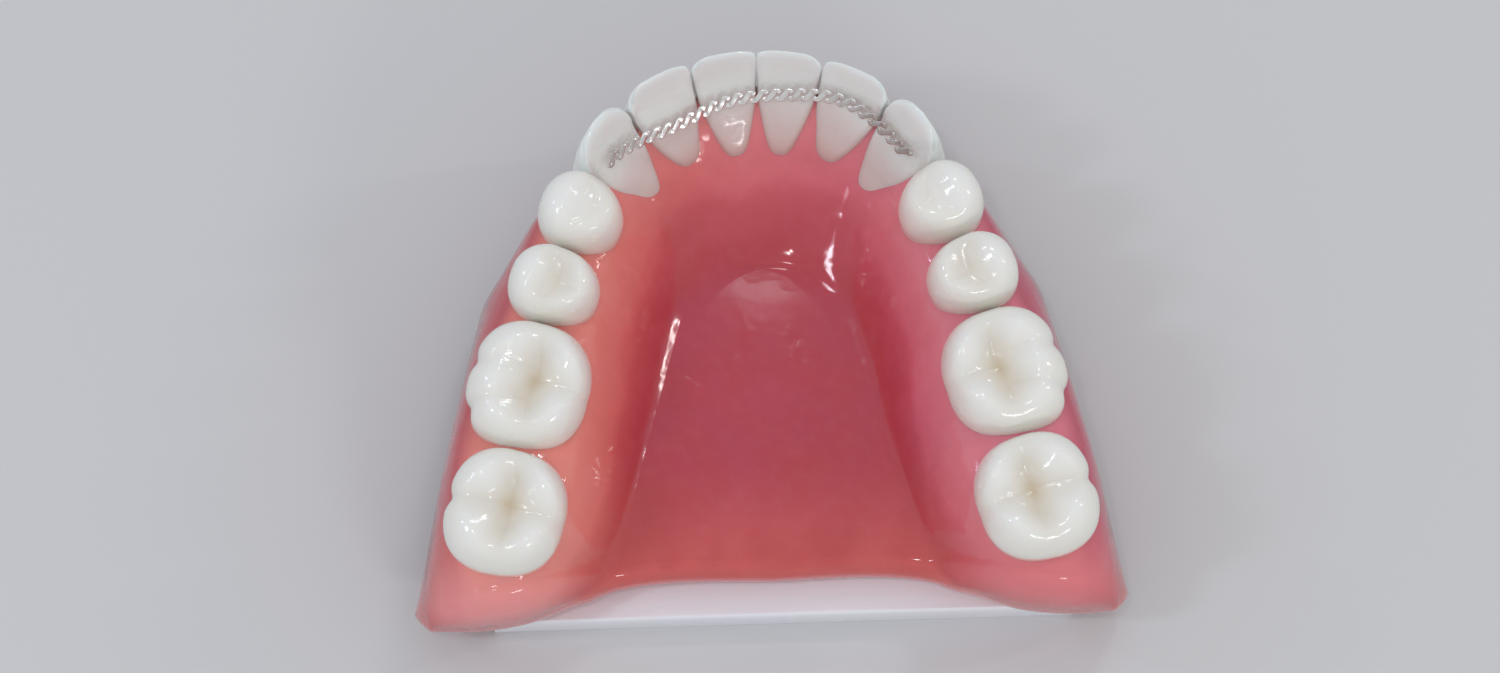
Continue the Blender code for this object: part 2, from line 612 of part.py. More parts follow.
def make_base_plate():
    half = half_outline(PLATE_INSET, PLATE_REAR_Y, 24)
    outline = np.concatenate([half, half[:0:-1] * (-1.0, 1.0)]) + (PLATE_SHIFT_X, 0.0)
    centre = outline.mean(axis=0)
    bm = bmesh.new()
    away = outline - centre
    inward = away / np.linalg.norm(away, axis=1, keepdims=True) * PLATE_EDGE_BEVEL
    levels = ((0.0, 0.0), (PLATE_THICKNESS - PLATE_EDGE_BEVEL, 0.0), (PLATE_THICKNESS, 1.0))
    rings = []
    for height, draw_in in levels:
        flat = outline - draw_in * inward
        rings.append([bm.verts.new((x, y, height)) for x, y in flat])
    for lower, upper in zip(rings, rings[1:]):
        for i in range(len(lower)):
            j = (i + 1) % len(lower)
            bm.faces.new((lower[i], lower[j], upper[j], upper[i]))
    bm.faces.new(rings[0])
    bm.faces.new(rings[-1])
    bmesh.ops.recalc_face_normals(bm, faces=bm.faces)
    return new_object("base_plate", bm, (0.86, 0.88, 0.9), 0.5, smooth=False)


def world_point(kind, side, distal, outward, height):
    """World position of points given in a tooth's own frame."""
    at, along, out = arch_frame(side * TOOTH_MIDDLE[kind])
    flat = at + (side * distal)[..., None] * along + outward[..., None] * out
    return np.concatenate([flat, (neck_height(kind) + height)[..., None]], -1)


def tongue_face(kind, side, angle, height):
    """A point on the tongue side of a front tooth and the face's outward direction there."""
    size = FRONT_TEETH[kind]
    step_angle, step_height = 0.02, 0.05 * MM
    here = front_world(kind, side, size, angle, height)
    across = front_world(kind, side, size, angle + step_angle, height) - here
    upward = front_world(kind, side, size, angle, height + step_height) - here
    normal = np.cross(across, upward)
    normal = normal / np.linalg.norm(normal, axis=-1, keepdims=True)
    _, _, out = arch_frame(side * TOOTH_MIDDLE[kind])
    towards_lips = normal[..., 0] * out[0] + normal[..., 1] * out[1]
    return here, np.where((towards_lips > 0.0)[..., None], -normal, normal)


def front_world(kind, side, size, angle, height):
    distal, outward, _ = front_section(size, angle, height / size["crown"])
    return world_point(kind, side, distal, outward, height)


def chain_height(kind, side):
    place = TOOTH_ORDER.index(kind)
    return BITE_HEIGHT - CHAIN_DROPS[3 + place if side > 0 else 2 - place]


def chain_line():
    """The chain's middle line behind the front teeth, with its length and its facing direction."""
    stand_off = PAD_GAP + PAD_THICKNESS + CHAIN_CLEARANCE + STRIP_THICKNESS + LAYER_GAP
    lengths, offsets, leans = [], [], []
    for side in (-1, 1):
        for kind in FRONT_TEETH:
            angle = np.array([-0.5 * math.pi])
            height = np.array([chain_height(kind, side) - neck_height(kind)])
            face, normal = tongue_face(kind, side, angle, height)
            at, _, out = arch_frame(side * TOOTH_MIDDLE[kind])
            inward = -float(normal[0, :2] @ out)
            lengths.append(side * TOOTH_MIDDLE[kind])
            offsets.append(-float((face[0, :2] - at) @ out) + stand_off * inward)
            leans.append(math.atan2(float(normal[0, 2]), inward))
    order = np.argsort(lengths)
    lengths = np.array(lengths)[order]
    end = TOOTH_MIDDLE["canine"] + CHAIN_PAST_CANINE
    s = np.linspace(-end, end, 401)
    offset = smooth_through(lengths, np.array(offsets)[order], s)
    lean = smooth_through(lengths, np.array(leans)[order], s) + math.radians(CHAIN_EXTRA_LEAN_DEG)
    at, _, out = arch_frame(s)
    height = BITE_HEIGHT - smooth_through(lengths, CHAIN_DROPS, s) + stand_off * np.sin(lean)
    line = np.column_stack([at - out * offset[:, None], height])
    along = np.gradient(line, axis=0)
    along = along / np.linalg.norm(along, axis=1, keepdims=True)
    facing = np.column_stack([-out * np.cos(lean)[:, None], np.sin(lean)])
    facing = facing - np.sum(facing * along, axis=1, keepdims=True) * along
    facing = facing / np.linalg.norm(facing, axis=1, keepdims=True)
    across = np.cross(facing, along)
    length = np.concatenate([[0.0], np.cumsum(np.linalg.norm(np.diff(line, axis=0), axis=1))])
    return line, along, across, facing, length


def link_strip(pitch):
    """Middle line of one S link in the chain's own directions, and its height in the two layers."""
    half_x = np.array([0.0, 0.12, 0.24, 0.34, 0.45, 0.57, 0.68]) * pitch
    half_y = np.array([0.0, 0.38, 0.75, 0.97, 1.0, 0.82, 0.5]) * LINK_HALF_HEIGHT
    layer = 0.5 * (STRIP_THICKNESS + LAYER_GAP)
    half_z = layer * np.array([0.0, 0.1, 0.3, 0.6, 0.9, 1.0, 1.0])
    x = np.concatenate([-half_x[:0:-1], half_x])
    y = np.concatenate([-half_y[:0:-1], half_y])
    z = np.concatenate([-half_z[:0:-1], half_z])
    return x, y, z


def link_mesh(middle, pitch, line, along, across, facing, length):
    """One closed strip swept along the S, bent with the chain's line."""
    x, y, z = link_strip(pitch)
    step_x, step_y = np.gradient(x), np.gradient(y)
    size = np.hypot(step_x, step_y)
    side_x, side_y = -step_y / size, step_x / size
    half_width, half_thick = STRIP_WIDTH / 2, STRIP_THICKNESS / 2
    bm = bmesh.new()
    rings = []
    for i in range(len(x)):
        ring = []
        for across_sign, up_sign in ((-1, -1), (1, -1), (1, 1), (-1, 1)):
            px = x[i] + across_sign * half_width * side_x[i]
            py = y[i] + across_sign * half_width * side_y[i]
            pz = z[i] + up_sign * half_thick
            where = middle + px
            origin = np.array([np.interp(where, length, line[:, k]) for k in range(3)])
            beyond = where - np.clip(where, length[0], length[-1])
            frame = [np.array([np.interp(where, length, d[:, k]) for k in range(3)])
                     for d in (along, across, facing)]
            point = origin + beyond * frame[0] + py * frame[1] + pz * frame[2]
            ring.append(bm.verts.new(point))
        rings.append(ring)
    for near, far in zip(rings, rings[1:]):
        for k in range(4):
            j = (k + 1) % 4
            bm.faces.new((near[k], near[j], far[j], far[k]))
    bm.faces.new(rings[0])
    bm.faces.new(rings[-1])
    bmesh.ops.recalc_face_normals(bm, faces=bm.faces)
    return bm


def make_chain():
    line, along, across, facing, length = chain_line()
    pitch = length[-1] / CHAIN_LINKS
    for i in range(CHAIN_LINKS):
        bm = link_mesh((i + 0.5) * pitch, pitch, line, along, across, facing, length)
        new_object("chain_link_%02d" % (i + 1), bm, (0.62, 0.6, 0.58), 0.2, 1.0, smooth=False)


def make_bond_pads():
    """A thin lens of clear adhesive on the tongue side of each front tooth, under the chain."""
    turn = np.linspace(0.0, 2.0 * math.pi, 12, endpoint=False)
    for side_name, side in SIDES.items():
        for kind in FRONT_TEETH:
            middle = chain_height(kind, side) - neck_height(kind)
            rings = []
            for share, lift in ((0.55, 0.0), (1.0, 0.0), (1.0, 0.15), (0.55, 0.85)):
                angle = -0.5 * math.pi + share * math.radians(PAD_HALF_WIDTH_DEG) * np.cos(turn)
                height = middle + share * PAD_HALF_HEIGHT * np.sin(turn)
                face, normal = tongue_face(kind, side, angle, height)
                rings.append(face + normal * (PAD_GAP + lift * PAD_THICKNESS))
            face, normal = tongue_face(kind, side, np.array([-0.5 * math.pi]), np.array([middle]))
            low_end = face[0] + normal[0] * PAD_GAP
            high_end = face[0] + normal[0] * (PAD_GAP + PAD_THICKNESS)
            bm = bmesh.new()
            stack_rings(bm, rings, low_end, high_end)
            bmesh.ops.recalc_face_normals(bm, faces=bm.faces)
            new_object("bond_" + side_name + "_" + kind, bm, (0.9, 0.9, 0.88), 0.1, coat=1.0)


def main():
    for thing in list(bpy.data.objects):
        bpy.data.objects.remove(thing, do_unlink=True)
    make_base_plate()
    make_gum_base()
    make_teeth()
    make_bond_pads()
    make_chain()


main()
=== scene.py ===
import math

import bmesh
import bpy
import numpy as np
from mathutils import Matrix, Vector


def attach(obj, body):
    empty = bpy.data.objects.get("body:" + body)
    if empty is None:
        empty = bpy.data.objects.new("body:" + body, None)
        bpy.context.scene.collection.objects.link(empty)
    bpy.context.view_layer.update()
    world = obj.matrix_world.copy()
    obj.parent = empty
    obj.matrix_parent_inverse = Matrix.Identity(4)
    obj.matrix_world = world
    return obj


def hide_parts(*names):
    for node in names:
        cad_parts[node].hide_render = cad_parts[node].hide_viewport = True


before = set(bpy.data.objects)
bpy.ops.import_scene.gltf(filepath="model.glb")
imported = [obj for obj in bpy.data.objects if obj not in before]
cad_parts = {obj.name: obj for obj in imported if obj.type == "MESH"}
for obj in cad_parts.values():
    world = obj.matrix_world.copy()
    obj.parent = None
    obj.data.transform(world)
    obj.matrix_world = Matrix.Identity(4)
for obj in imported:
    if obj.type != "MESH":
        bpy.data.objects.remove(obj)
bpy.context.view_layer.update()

# Lower jaw model with a chain retainer: z is up, y points to the front teeth, x runs across the jaw

mm = 0.001
sides = dict(left=-1, right=1)
meshing = dict(weld=0.0005 * mm, sliver=0.0001 * mm, overrun=0.5)


# Curves and grids shared by the pieces

def smooth(knots, values, at):
    # cubic pieces through values, or rows of them, at knots, with the mean slope of the neighbours there
    knots = np.asarray(knots, float)
    values = np.asarray(values, float)
    slopes = np.gradient(values, knots, axis=0)
    at = np.asarray(at, float)
    left = np.clip(np.searchsorted(knots, at, side="right") - 1, 0, len(knots) - 2)
    span = knots[left + 1] - knots[left]
    t = np.clip((at - knots[left]) / span, -meshing["overrun"], 1.0 + meshing["overrun"])
    spread = (slice(None),) * t.ndim + (None,) * (values.ndim - 1)
    t, span = t[spread], span[spread]
    rise = (2 * t**3 - 3 * t**2 + 1) * values[left] + (3 * t**2 - 2 * t**3) * values[left + 1]
    lean = (t**3 - 2 * t**2 + t) * slopes[left] + (t**3 - t**2) * slopes[left + 1]
    return rise + span * lean


def ease(x):
    # rises smoothly from 0 to 1 while x goes from 0 to 1
    x = np.clip(x, 0.0, 1.0)
    return x * x * (3.0 - 2.0 * x)


def bell(x, width):
    # 1 at x = 0, falling to about a third at the width on both sides
    return np.exp(-((x / width) ** 2))


def unit(vectors):
    # vectors of length 1 in the same directions
    return vectors / np.linalg.norm(vectors, axis=-1, keepdims=True)


def runLength(points):
    # length run along a row of points up to each of them
    return np.concatenate([[0.0], np.cumsum(np.linalg.norm(np.diff(points, axis=0), axis=1))])


def fullTurn(count):
    # angles all round, as a row
    return np.linspace(0.0, 2.0 * math.pi, count, endpoint=False)[None, :]


def quarterTurn(count):
    return np.linspace(0.0, 0.5 * math.pi, count)


def gridFaces(points, closed=True):
    # quads between neighbouring points of a grid, closed round its columns or open at their ends
    rows, columns = points.shape[:2]
    here = np.arange(rows - 1)[:, None] * columns
    j = np.arange(columns if closed else columns - 1)[None, :]
    nextJ = (j + 1) % columns
    corners = (here + j, here + nextJ, here + columns + nextJ, here + columns + j)
    return np.stack(corners, -1).reshape(-1, 4)


def makeMesh(name, points, material, stands, marks=None, faces=None, sharpDegrees=60.0):
    # one closed mesh from a grid of points, riding on the root in place of its CAD nodes. Marks are
    # values at its points for the material to read
    mesh = bpy.data.meshes.new(name)
    mesh.from_pydata(points.reshape(-1, 3), [], gridFaces(points) if faces is None else faces)
    for markName, values in (marks or {}).items():
        mark = mesh.attributes.new(markName, "FLOAT", "POINT")
        mark.data.foreach_set("value", np.ascontiguousarray(values, np.float32).ravel())
    bm = bmesh.new()
    bm.from_mesh(mesh)
    bmesh.ops.remove_doubles(bm, verts=bm.verts, dist=meshing["weld"])
    bmesh.ops.dissolve_degenerate(bm, edges=bm.edges, dist=meshing["sliver"])
    rim = [edge for edge in bm.edges if edge.is_boundary]
    if rim:
        bmesh.ops.contextual_create(bm, geom=rim)
    bmesh.ops.recalc_face_normals(bm, faces=bm.faces)
    bm.to_mesh(mesh)
    bm.free()
    mesh.shade_smooth()
    mesh.set_sharp_from_angle(angle=math.radians(sharpDegrees))
    mesh.materials.append(material)
    piece = bpy.data.objects.new(name, mesh)
    bpy.context.scene.collection.objects.link(piece)
    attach(piece, "root")
    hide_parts(*stands)


# The arch: a hanging-chain curve through the middle of the teeth, seen from above

arch = dict(
    halfWidth=22.4 * mm, depth=39.9 * mm, roundness=6.5 * mm, frontY=23.9 * mm, reachShare=1.35,
    samples=6000,
)


def archSamples():
    # half of the curve, y falling with the hyperbolic cosine of x, and the length run along it
    x = np.linspace(0.0, arch["reachShare"] * arch["halfWidth"], arch["samples"])
    drop = arch["depth"] / (math.cosh(arch["halfWidth"] / arch["roundness"]) - 1.0)
    y = arch["frontY"] - drop * (np.cosh(x / arch["roundness"]) - 1.0)
    length = np.concatenate([[0.0], np.cumsum(np.hypot(np.diff(x), np.diff(y)))])
    return x, y, length


archX, archY, archLength = archSamples()
archSlope = np.gradient(archY, archX)


def archFrame(s):
    # point of the arch at signed length s, its direction towards +x and its outward direction
    s = np.asarray(s, float)
    side = np.where(s < 0.0, -1.0, 1.0)
    x = np.interp(np.abs(s), archLength, archX)
    y = np.interp(np.abs(s), archLength, archY)
    slope = np.interp(np.abs(s), archLength, archSlope)
    along = unit(np.stack([np.ones_like(slope), side * slope], -1))
    out = np.stack([-along[..., 1], along[..., 0]], -1)
    return np.stack([side * x, y], -1), along, out


# Teeth. Offsets from the arch line are positive towards the lips

biteHeight = 20.5 * mm
toothGap = 0.08 * mm
rootDepth = 4.5 * mm

# One column each for the central incisor, the lateral incisor and the canine, in millimetres
frontSizes = dict(
    width=(5.67, 6.13, 6.1), crown=(9.0, 9.2, 10.7), edgeThickness=(0.32, 0.34, 0.8),
    lipNeck=(-0.4, 0.1, 1.3), lipBelly=(1.1, 1.45, 2.15), lipEdge=(0.85, 1.35, 2.0),
    tongueNeck=(-5.5, -4.5, -4.9), tongueMid=(-1.35, -1.1, -1.0), contactOut=(0.1, 0.4, 0.7),
    peak=(0.0, 0.0, 1.3), mesialCorner=(0.3, 0.35, 0.3), distalCorner=(0.6, 1.3, 0.7),
    fanRadius=(15.0, 15.0, 17.0), edgeShift=(0.2, 0.2, 0.6), edgeTilt=(0.12, 0.4, 0.2),
    mesialBow=(0.15, 0.2, 0.6), distalBow=(0.6, 0.9, 1.0),
)
frontShares = dict(neckShare=(0.72, 0.72, 0.74), edgeRound=(0.08, 0.09, 0.17))
frontKinds = ("central_incisor", "lateral_incisor", "canine")
frontTeeth = {
    kind: {name: column[i] * mm for name, column in frontSizes.items()}
    | {name: column[i] for name, column in frontShares.items()}
    for i, kind in enumerate(frontKinds)
}

# Cusps are (distal share, outward share, drop below the bite height in millimetres), the shares taken
# from the tooth's middle to its edge. Lobe notches are (angle from distal towards the cheek, depth
# share). Fissures are runs of points in the same shares. Turn is in degrees from the arch's direction
backTeeth = dict(
    first_premolar=dict(
        width=7.2 * mm, depth=7.5 * mm, crown=8.5 * mm, squareness=2.2, turn=0.0,
        cusps=((-0.05, 0.25, 0.0), (0.05, -0.65, 1.9)),
        pit=(0.0, -0.3), stain=0.2, marginDrop=1.5 * mm, softness=0.6 * mm, narrowing=0.15, notches=(),
        fissures=(
            ((-0.55, -0.1), (-0.35, -0.3), (-0.1, -0.36)),
            ((0.55, -0.08), (0.38, -0.3), (0.12, -0.37)),
        ),
    ),
    second_premolar=dict(
        width=7.1 * mm, depth=8.0 * mm, crown=8.0 * mm, squareness=2.3, turn=0.0,
        cusps=((-0.10, 0.38, 0.2), (-0.15, -0.58, 0.8), (0.5, -0.5, 1.0)),
        pit=(0.0, -0.12), stain=0.5, marginDrop=1.2 * mm, softness=0.45 * mm, narrowing=0.13, notches=(),
        fissures=(
            ((-0.55, 0.02), (-0.38, -0.12), (-0.05, -0.16), (0.28, -0.14), (0.55, 0.04)),
            ((0.2, -0.14), (0.2, -0.50), (0.2, -0.85)),
        ),
    ),
    first_molar=dict(
        width=11.6 * mm, depth=10.5 * mm, crown=7.75 * mm, squareness=2.5, turn=2.0,
        cusps=(
            (-0.50, 0.38, 0.3), (0.06, 0.46, 0.4), (0.56, 0.34, 0.6),
            (-0.42, -0.62, 0.0), (0.42, -0.60, 0.2),
        ),
        pit=(0.05, -0.16), stain=1.0, marginDrop=0.95 * mm, softness=0.3 * mm, narrowing=0.05,
        notches=((101.0, 0.08), (58.0, 0.075), (-88.0, 0.01)),
        fissures=(
            ((-0.62, -0.08), (-0.42, -0.14), (-0.16, -0.19), (0.06, -0.16), (0.32, -0.1), (0.62, -0.12)),
            ((-0.16, -0.19), (-0.2, 0.16), (-0.24, 0.55), (-0.22, 0.9)),
            ((0.32, -0.1), (0.34, 0.25), (0.46, 0.75)),
            ((0.06, -0.16), (0.02, -0.5), (0.02, -0.9)),
        ),
    ),
    second_molar=dict(
        width=11.0 * mm, depth=10.2 * mm, crown=7.3 * mm, squareness=2.5, turn=5.0,
        cusps=(
            (-0.46, 0.44, 0.2), (0.44, 0.44, 0.4),
            (-0.46, -0.60, 0.0), (0.44, -0.58, 0.2),
        ),
        pit=(0.0, -0.12), stain=1.0, marginDrop=0.95 * mm, softness=0.3 * mm, narrowing=0.05,
        notches=((91.0, 0.085), (-86.0, 0.01)),
        fissures=(
            ((-0.64, -0.06), (-0.34, -0.13), (0.0, -0.12), (0.34, -0.14), (0.64, -0.08)),
            ((0.0, -0.12), (-0.03, 0.3), (-0.02, 0.9)),
            ((0.02, -0.12), (0.04, -0.5), (0.04, -0.9)),
        ),
    ),
)

# Starts and spans are shares of the crown's height
frontForm = dict(
    tongueLevels=(0.0, 0.13, 0.35, 0.6, 0.83, 1.0),
    swellHold=0.93, swellShare=0.4, hollowShare=0.65,
    lipLevels=(0.0, 0.55, 1.0),
    middleLevels=(0.0, 0.6, 0.85, 1.0), neckMiddleShare=0.42,
    narrowsBelow=0.5, narrowingPower=1.6,
    neckSquareness=2.9, squarenessGain=4.1, squaresFrom=0.1, squaresOver=0.5,
    shiftFrom=0.35, shiftOver=0.45, bowFrom=0.6, bowOver=0.3,
    peakShift=0.2, peakPower=1.7, dropFrom=0.45, dropOver=0.5,
    dishDepth=0.16 * mm, dishAt=0.62, dishWidth=0.2, dishSide=0.78,
    rootPart=0.12, edgePart=0.82, rootTaper=0.4, endTaper=0.22,
    levels=90,
)

carving = dict(
    cuspSlope=0.44, cuspRounding=1.15 * mm, ridgeShare=0.55, ridgeFall=0.8 * mm,
    pitDrop=1.6 * mm, marginAt=0.74, marginReach=0.42, tableRoundness=6.0,
    widestShare=0.46, narrowFrom=0.2, notchWidth=0.15, edgePower=0.8,
    neckShare=0.8, rootEndShare=0.56, shoulderShare=0.7,
    fissureDepth=0.06 * mm, fissureWidth=0.2 * mm, fissureAtRim=0.35, rimFade=0.35,
    stainWidth=1.5 * mm, stainReach=3.2 * mm, mainStain=0.75, grooveTan=0.5,
    pitStain=0.4, pitReach=0.8 * mm,
    fossaTan=0.45, fossaDepth=1.7 * mm, fossaFrom=0.25, fossaFade=0.5,
    around=120, wallLevels=22, biteLevels=60,
)

allTeeth = {**frontTeeth, **backTeeth}
toothOrder = list(allTeeth)


def toothMiddles():
    # length along the arch from the midline to the middle of each tooth, and to the last one's end
    widths = np.array([allTeeth[kind]["width"] for kind in toothOrder])
    ends = np.cumsum(widths)
    return dict(zip(toothOrder, ends - widths / 2)), ends[-1]


toothMiddle, toothReach = toothMiddles()


def neckHeight(kind):
    # every crown ends at the bite height
    return biteHeight - allTeeth[kind]["crown"]


def tongueOffset(size, h):
    # tongue face of a front tooth at a share h of its crown: swell, hollow and edge in one curve
    neck, middle, edge = size["tongueNeck"], size["tongueMid"], size["lipEdge"] - size["edgeThickness"]
    low = middle + frontForm["swellShare"] * (neck - middle)
    high = middle + frontForm["hollowShare"] * (edge - middle)
    offsets = (neck, frontForm["swellHold"] * neck, low, middle, high, edge)
    return smooth(frontForm["tongueLevels"], offsets, h)


def lipOffset(size, h):
    # lip face of a front tooth at a share h of its crown height: out to the belly and back to the edge
    return smooth(frontForm["lipLevels"], (size["lipNeck"], size["lipBelly"], size["lipEdge"]), h)


def frontSection(size, angle, h):
    # outline of a front tooth at a share h of its height: a squared ellipse between lip and tongue faces,
    # narrower towards the tongue and bowed back at its corners
    form = frontForm
    up = np.clip(h, 0.0, 1.0)
    lip, tongue = lipOffset(size, up), tongueOffset(size, up)
    low = np.clip(1.0 - up / form["narrowsBelow"], 0.0, 1.0)
    share = 1.0 - (1.0 - size["neckShare"]) * low ** form["narrowingPower"]
    square = ease((up - form["squaresFrom"]) / form["squaresOver"])
    power = 2.0 / (form["neckSquareness"] + form["squarenessGain"] * square)
    halfWidth = 0.5 * size["width"] * share
    neckMiddle = size["lipNeck"] + form["neckMiddleShare"] * (size["tongueNeck"] - size["lipNeck"])
    edgeMiddle = size["lipEdge"] - 0.5 * size["edgeThickness"]
    middles = (neckMiddle, size["contactOut"], size["contactOut"], edgeMiddle)
    middle = smooth(form["middleLevels"], middles, up)
    cos, sin = np.cos(angle), np.sin(angle)
    reach = np.where(sin > 0.0, lip - middle, middle - tongue)
    outward = middle + reach * np.sign(sin) * np.abs(sin) ** power
    part = np.sign(cos) * np.abs(cos) ** power
    bow = np.where(part > 0.0, size["distalBow"], size["mesialBow"])
    edgewards = ease((up - form["shiftFrom"]) / form["shiftOver"])
    bowed = ease((up - form["bowFrom"]) / form["bowOver"])
    plan = edgewards * (size["edgeShift"] + size["edgeTilt"] * part) - bowed * bow * part**4
    outward = outward + plan
    fan = 1.0 + (outward - size["contactOut"]) / size["fanRadius"]
    return halfWidth * fan * part, outward, middle + plan


def frontTooth(kind):
    # rings from the root's end to the biting edge, whose last levels close along a quarter of a circle
    size, form = frontTeeth[kind], frontForm
    angle = fullTurn(carving["around"])
    t = np.linspace(0.0, 1.0, form["levels"])[:, None]
    rootPart, edgePart = form["rootPart"], form["edgePart"]
    h = np.clip((t - rootPart) / (edgePart - rootPart), 0.0, 1.0) * (1.0 - size["edgeRound"])
    turn = np.clip((t - edgePart) / (1.0 - edgePart), 0.0, 1.0) * 0.5 * math.pi
    h = h + size["edgeRound"] * np.sin(turn)
    inset = 1.0 - np.cos(turn)
    depth = np.clip(1.0 - t / rootPart, 0.0, 1.0)
    distal, outward, middle = frontSection(size, angle, h)
    shrink = (1.0 - form["rootTaper"] * depth) * (t > 0.0)
    share = distal / (0.5 * size["width"])
    corner = np.where(share > 0.0, size["distalCorner"], size["mesialCorner"])
    peaked = np.abs(share + form["peakShift"]) ** form["peakPower"]
    drop = size["peak"] * peaked + corner * np.abs(share) ** 4
    fall = ease((h - form["dropFrom"]) / form["dropOver"])
    height = h * size["crown"] - drop * fall - depth * rootDepth
    tongueSide = np.clip(-np.sin(angle), 0.0, 1.0)
    dishWidth = form["dishWidth"]
    inDish = bell(h - form["dishAt"], dishWidth) * (1.0 - bell(np.abs(share) - form["dishSide"], dishWidth))
    dish = tongueSide * form["dishDepth"] * inDish
    distal = distal * shrink * (1.0 - form["endTaper"] * inset)
    outward = middle + (outward + dish - middle) * shrink * (1.0 - inset)
    points = np.stack(np.broadcast_arrays(distal, outward, height), -1)
    points[0, :, 1] = middle[0, 0]
    marks = {"heightShare": np.broadcast_to(h, height.shape), "stain": np.zeros_like(height)}
    return points, marks


def fromLine(x, y, x0, y0, x1, y1):
    # distance from each point to a straight piece, and the share of its run where the foot lies
    dx, dy = x1 - x0, y1 - y0
    t = np.clip(((x - x0) * dx + (y - y0) * dy) / (dx * dx + dy * dy), 0.0, 1.0)
    return np.hypot(x - x0 - t * dx, y - y0 - t * dy), t


def fromRuns(x, y, runs, halfWidth, halfDepth):
    # distance from each point to the nearest of some runs of straight pieces, given in shares
    pieces = [(*start, *end) for run in runs for start, end in zip(run, run[1:])]
    scaled = np.array(pieces) * (halfWidth, halfDepth, halfWidth, halfDepth)
    return np.min([fromLine(x, y, *piece)[0] for piece in scaled], axis=0)


def biteFace(size, u, v):
    # height of a biting face above its neck: a soft maximum of rounded ridges, from each cusp towards the
    # pit and along both ends, cut by the fissures. The stain lies along the fissures and in the hollows
    cut = carving
    halfWidth, halfDepth = (size["width"] - toothGap) / 2, size["depth"] / 2
    x, y = u * halfWidth, v * halfDepth
    pitX, pitY = size["pit"][0] * halfWidth, size["pit"][1] * halfDepth
    ridges = []
    for cuspU, cuspV, drop in size["cusps"]:
        cuspX, cuspY = cuspU * halfWidth, cuspV * halfDepth
        footX = cuspX + cut["ridgeShare"] * (pitX - cuspX)
        footY = cuspY + cut["ridgeShare"] * (pitY - cuspY)
        ridges.append((cuspX, cuspY, footX, footY, drop * mm, cut["ridgeFall"]))
    endX, endY = cut["marginAt"] * halfWidth, cut["marginReach"] * halfDepth
    ridges += [(x0, -endY, x0, endY, size["marginDrop"], 0.0) for x0 in (-endX, endX)]
    soft = size["softness"]
    total = np.exp(-cut["pitDrop"] / soft) * np.ones_like(x)
    for *ends, drop, ridgeFall in ridges:
        away, t = fromLine(x, y, *ends)
        fall = cut["cuspSlope"] * (np.hypot(away, cut["cuspRounding"]) - cut["cuspRounding"])
        total = total + np.exp(-(drop + t * ridgeFall + fall) / soft)
    height = size["crown"] + soft * np.log(total)
    near = fromRuns(x, y, size["fissures"], halfWidth, halfDepth)
    mainRun = fromRuns(x, y, size["fissures"][:1], halfWidth, halfDepth)
    room = 1.0 - np.hypot(u, v)
    rim = cut["fissureAtRim"]
    depth = rim + (1.0 - rim) * ease(room / cut["rimFade"])
    height = height - cut["fissureDepth"] * bell(near, cut["fissureWidth"]) * depth
    low = (size["crown"] - height) / cut["fossaDepth"]
    fossa = ease(low - cut["fossaFrom"]) * ease(room / cut["fossaFade"])
    fromPit = np.hypot(x - pitX, y - pitY)
    groove = cut["mainStain"] * bell(mainRun, cut["stainWidth"])
    groove = groove + (1.0 - cut["mainStain"]) * bell(near, cut["stainWidth"])
    tan = groove * bell(fromPit, cut["stainReach"]) + cut["pitStain"] * bell(fromPit, cut["pitReach"])
    return height, cut["grooveTan"] * tan * size["stain"] + cut["fossaTan"] * fossa


def backOutline(size, angle):
    # squared ellipse with a notch between neighbouring lobes, narrower towards the tongue
    n = size["squareness"]
    radius = (np.abs(np.cos(angle)) ** n + np.abs(np.sin(angle)) ** n) ** (-1.0 / n)
    for notchDegrees, depth in size["notches"]:
        away = np.angle(np.exp(1j * (angle - math.radians(notchDegrees))))
        radius = radius * (1.0 - depth * bell(away, carving["notchWidth"]))
    u, v = radius * np.cos(angle), radius * np.sin(angle)
    return u * (1.0 - size["narrowing"] * np.maximum(0.0, carving["narrowFrom"] - v)), v


def backTooth(kind):
    # walls from the root stub out to the widest line, then a dome over which the biting face is laid
    size = backTeeth[kind]
    angle = fullTurn(carving["around"])
    u, v = backOutline(size, angle)
    halfWidth, halfDepth = (size["width"] - toothGap) / 2, size["depth"] / 2
    rim = carving["widestShare"] * size["crown"]
    neck = carving["neckShare"]
    wall = np.linspace(-rootDepth, rim, carving["wallLevels"])
    shoulder = neck + carving["shoulderShare"] * (1.0 - neck)
    wallShares = (carving["rootEndShare"], neck, shoulder, 1.0)
    wallShare = smooth((-rootDepth, 0.0, 0.5 * rim, rim), wallShares, wall)
    turn = quarterTurn(carving["biteLevels"] + 1)[1:]
    biteShare = np.cos(turn) ** carving["edgePower"]
    biteShare[-1] = 0.0
    share = np.concatenate([[0.0], wallShare, biteShare])[:, None]
    rise = np.sqrt(1.0 - biteShare ** carving["tableRoundness"])
    dome = np.concatenate([[0.0], np.zeros_like(wall), rise])[:, None]
    level = np.concatenate([[-rootDepth], wall, np.full_like(biteShare, rim)])[:, None]
    top, stain = biteFace(size, share * u, share * v)
    height = level + dome * (top - rim)
    points = np.stack(np.broadcast_arrays(share * halfWidth * u, share * halfDepth * v, height), -1)
    marks = {"heightShare": height / size["crown"], "stain": stain * dome}
    return points, marks


def placeTooth(points, kind, side):
    # mirrors the tooth for its side, turns it with the arch and stands it at its neck
    at, along, _ = archFrame(side * toothMiddle[kind])
    spin = math.atan2(along[1], along[0]) + side * math.radians(allTeeth[kind].get("turn", 0.0))
    x, y, z = side * points[..., 0], points[..., 1], points[..., 2]
    cos, sin = math.cos(spin), math.sin(spin)
    return np.stack((x * cos - y * sin, x * sin + y * cos, z), -1) + (at[0], at[1], neckHeight(kind))


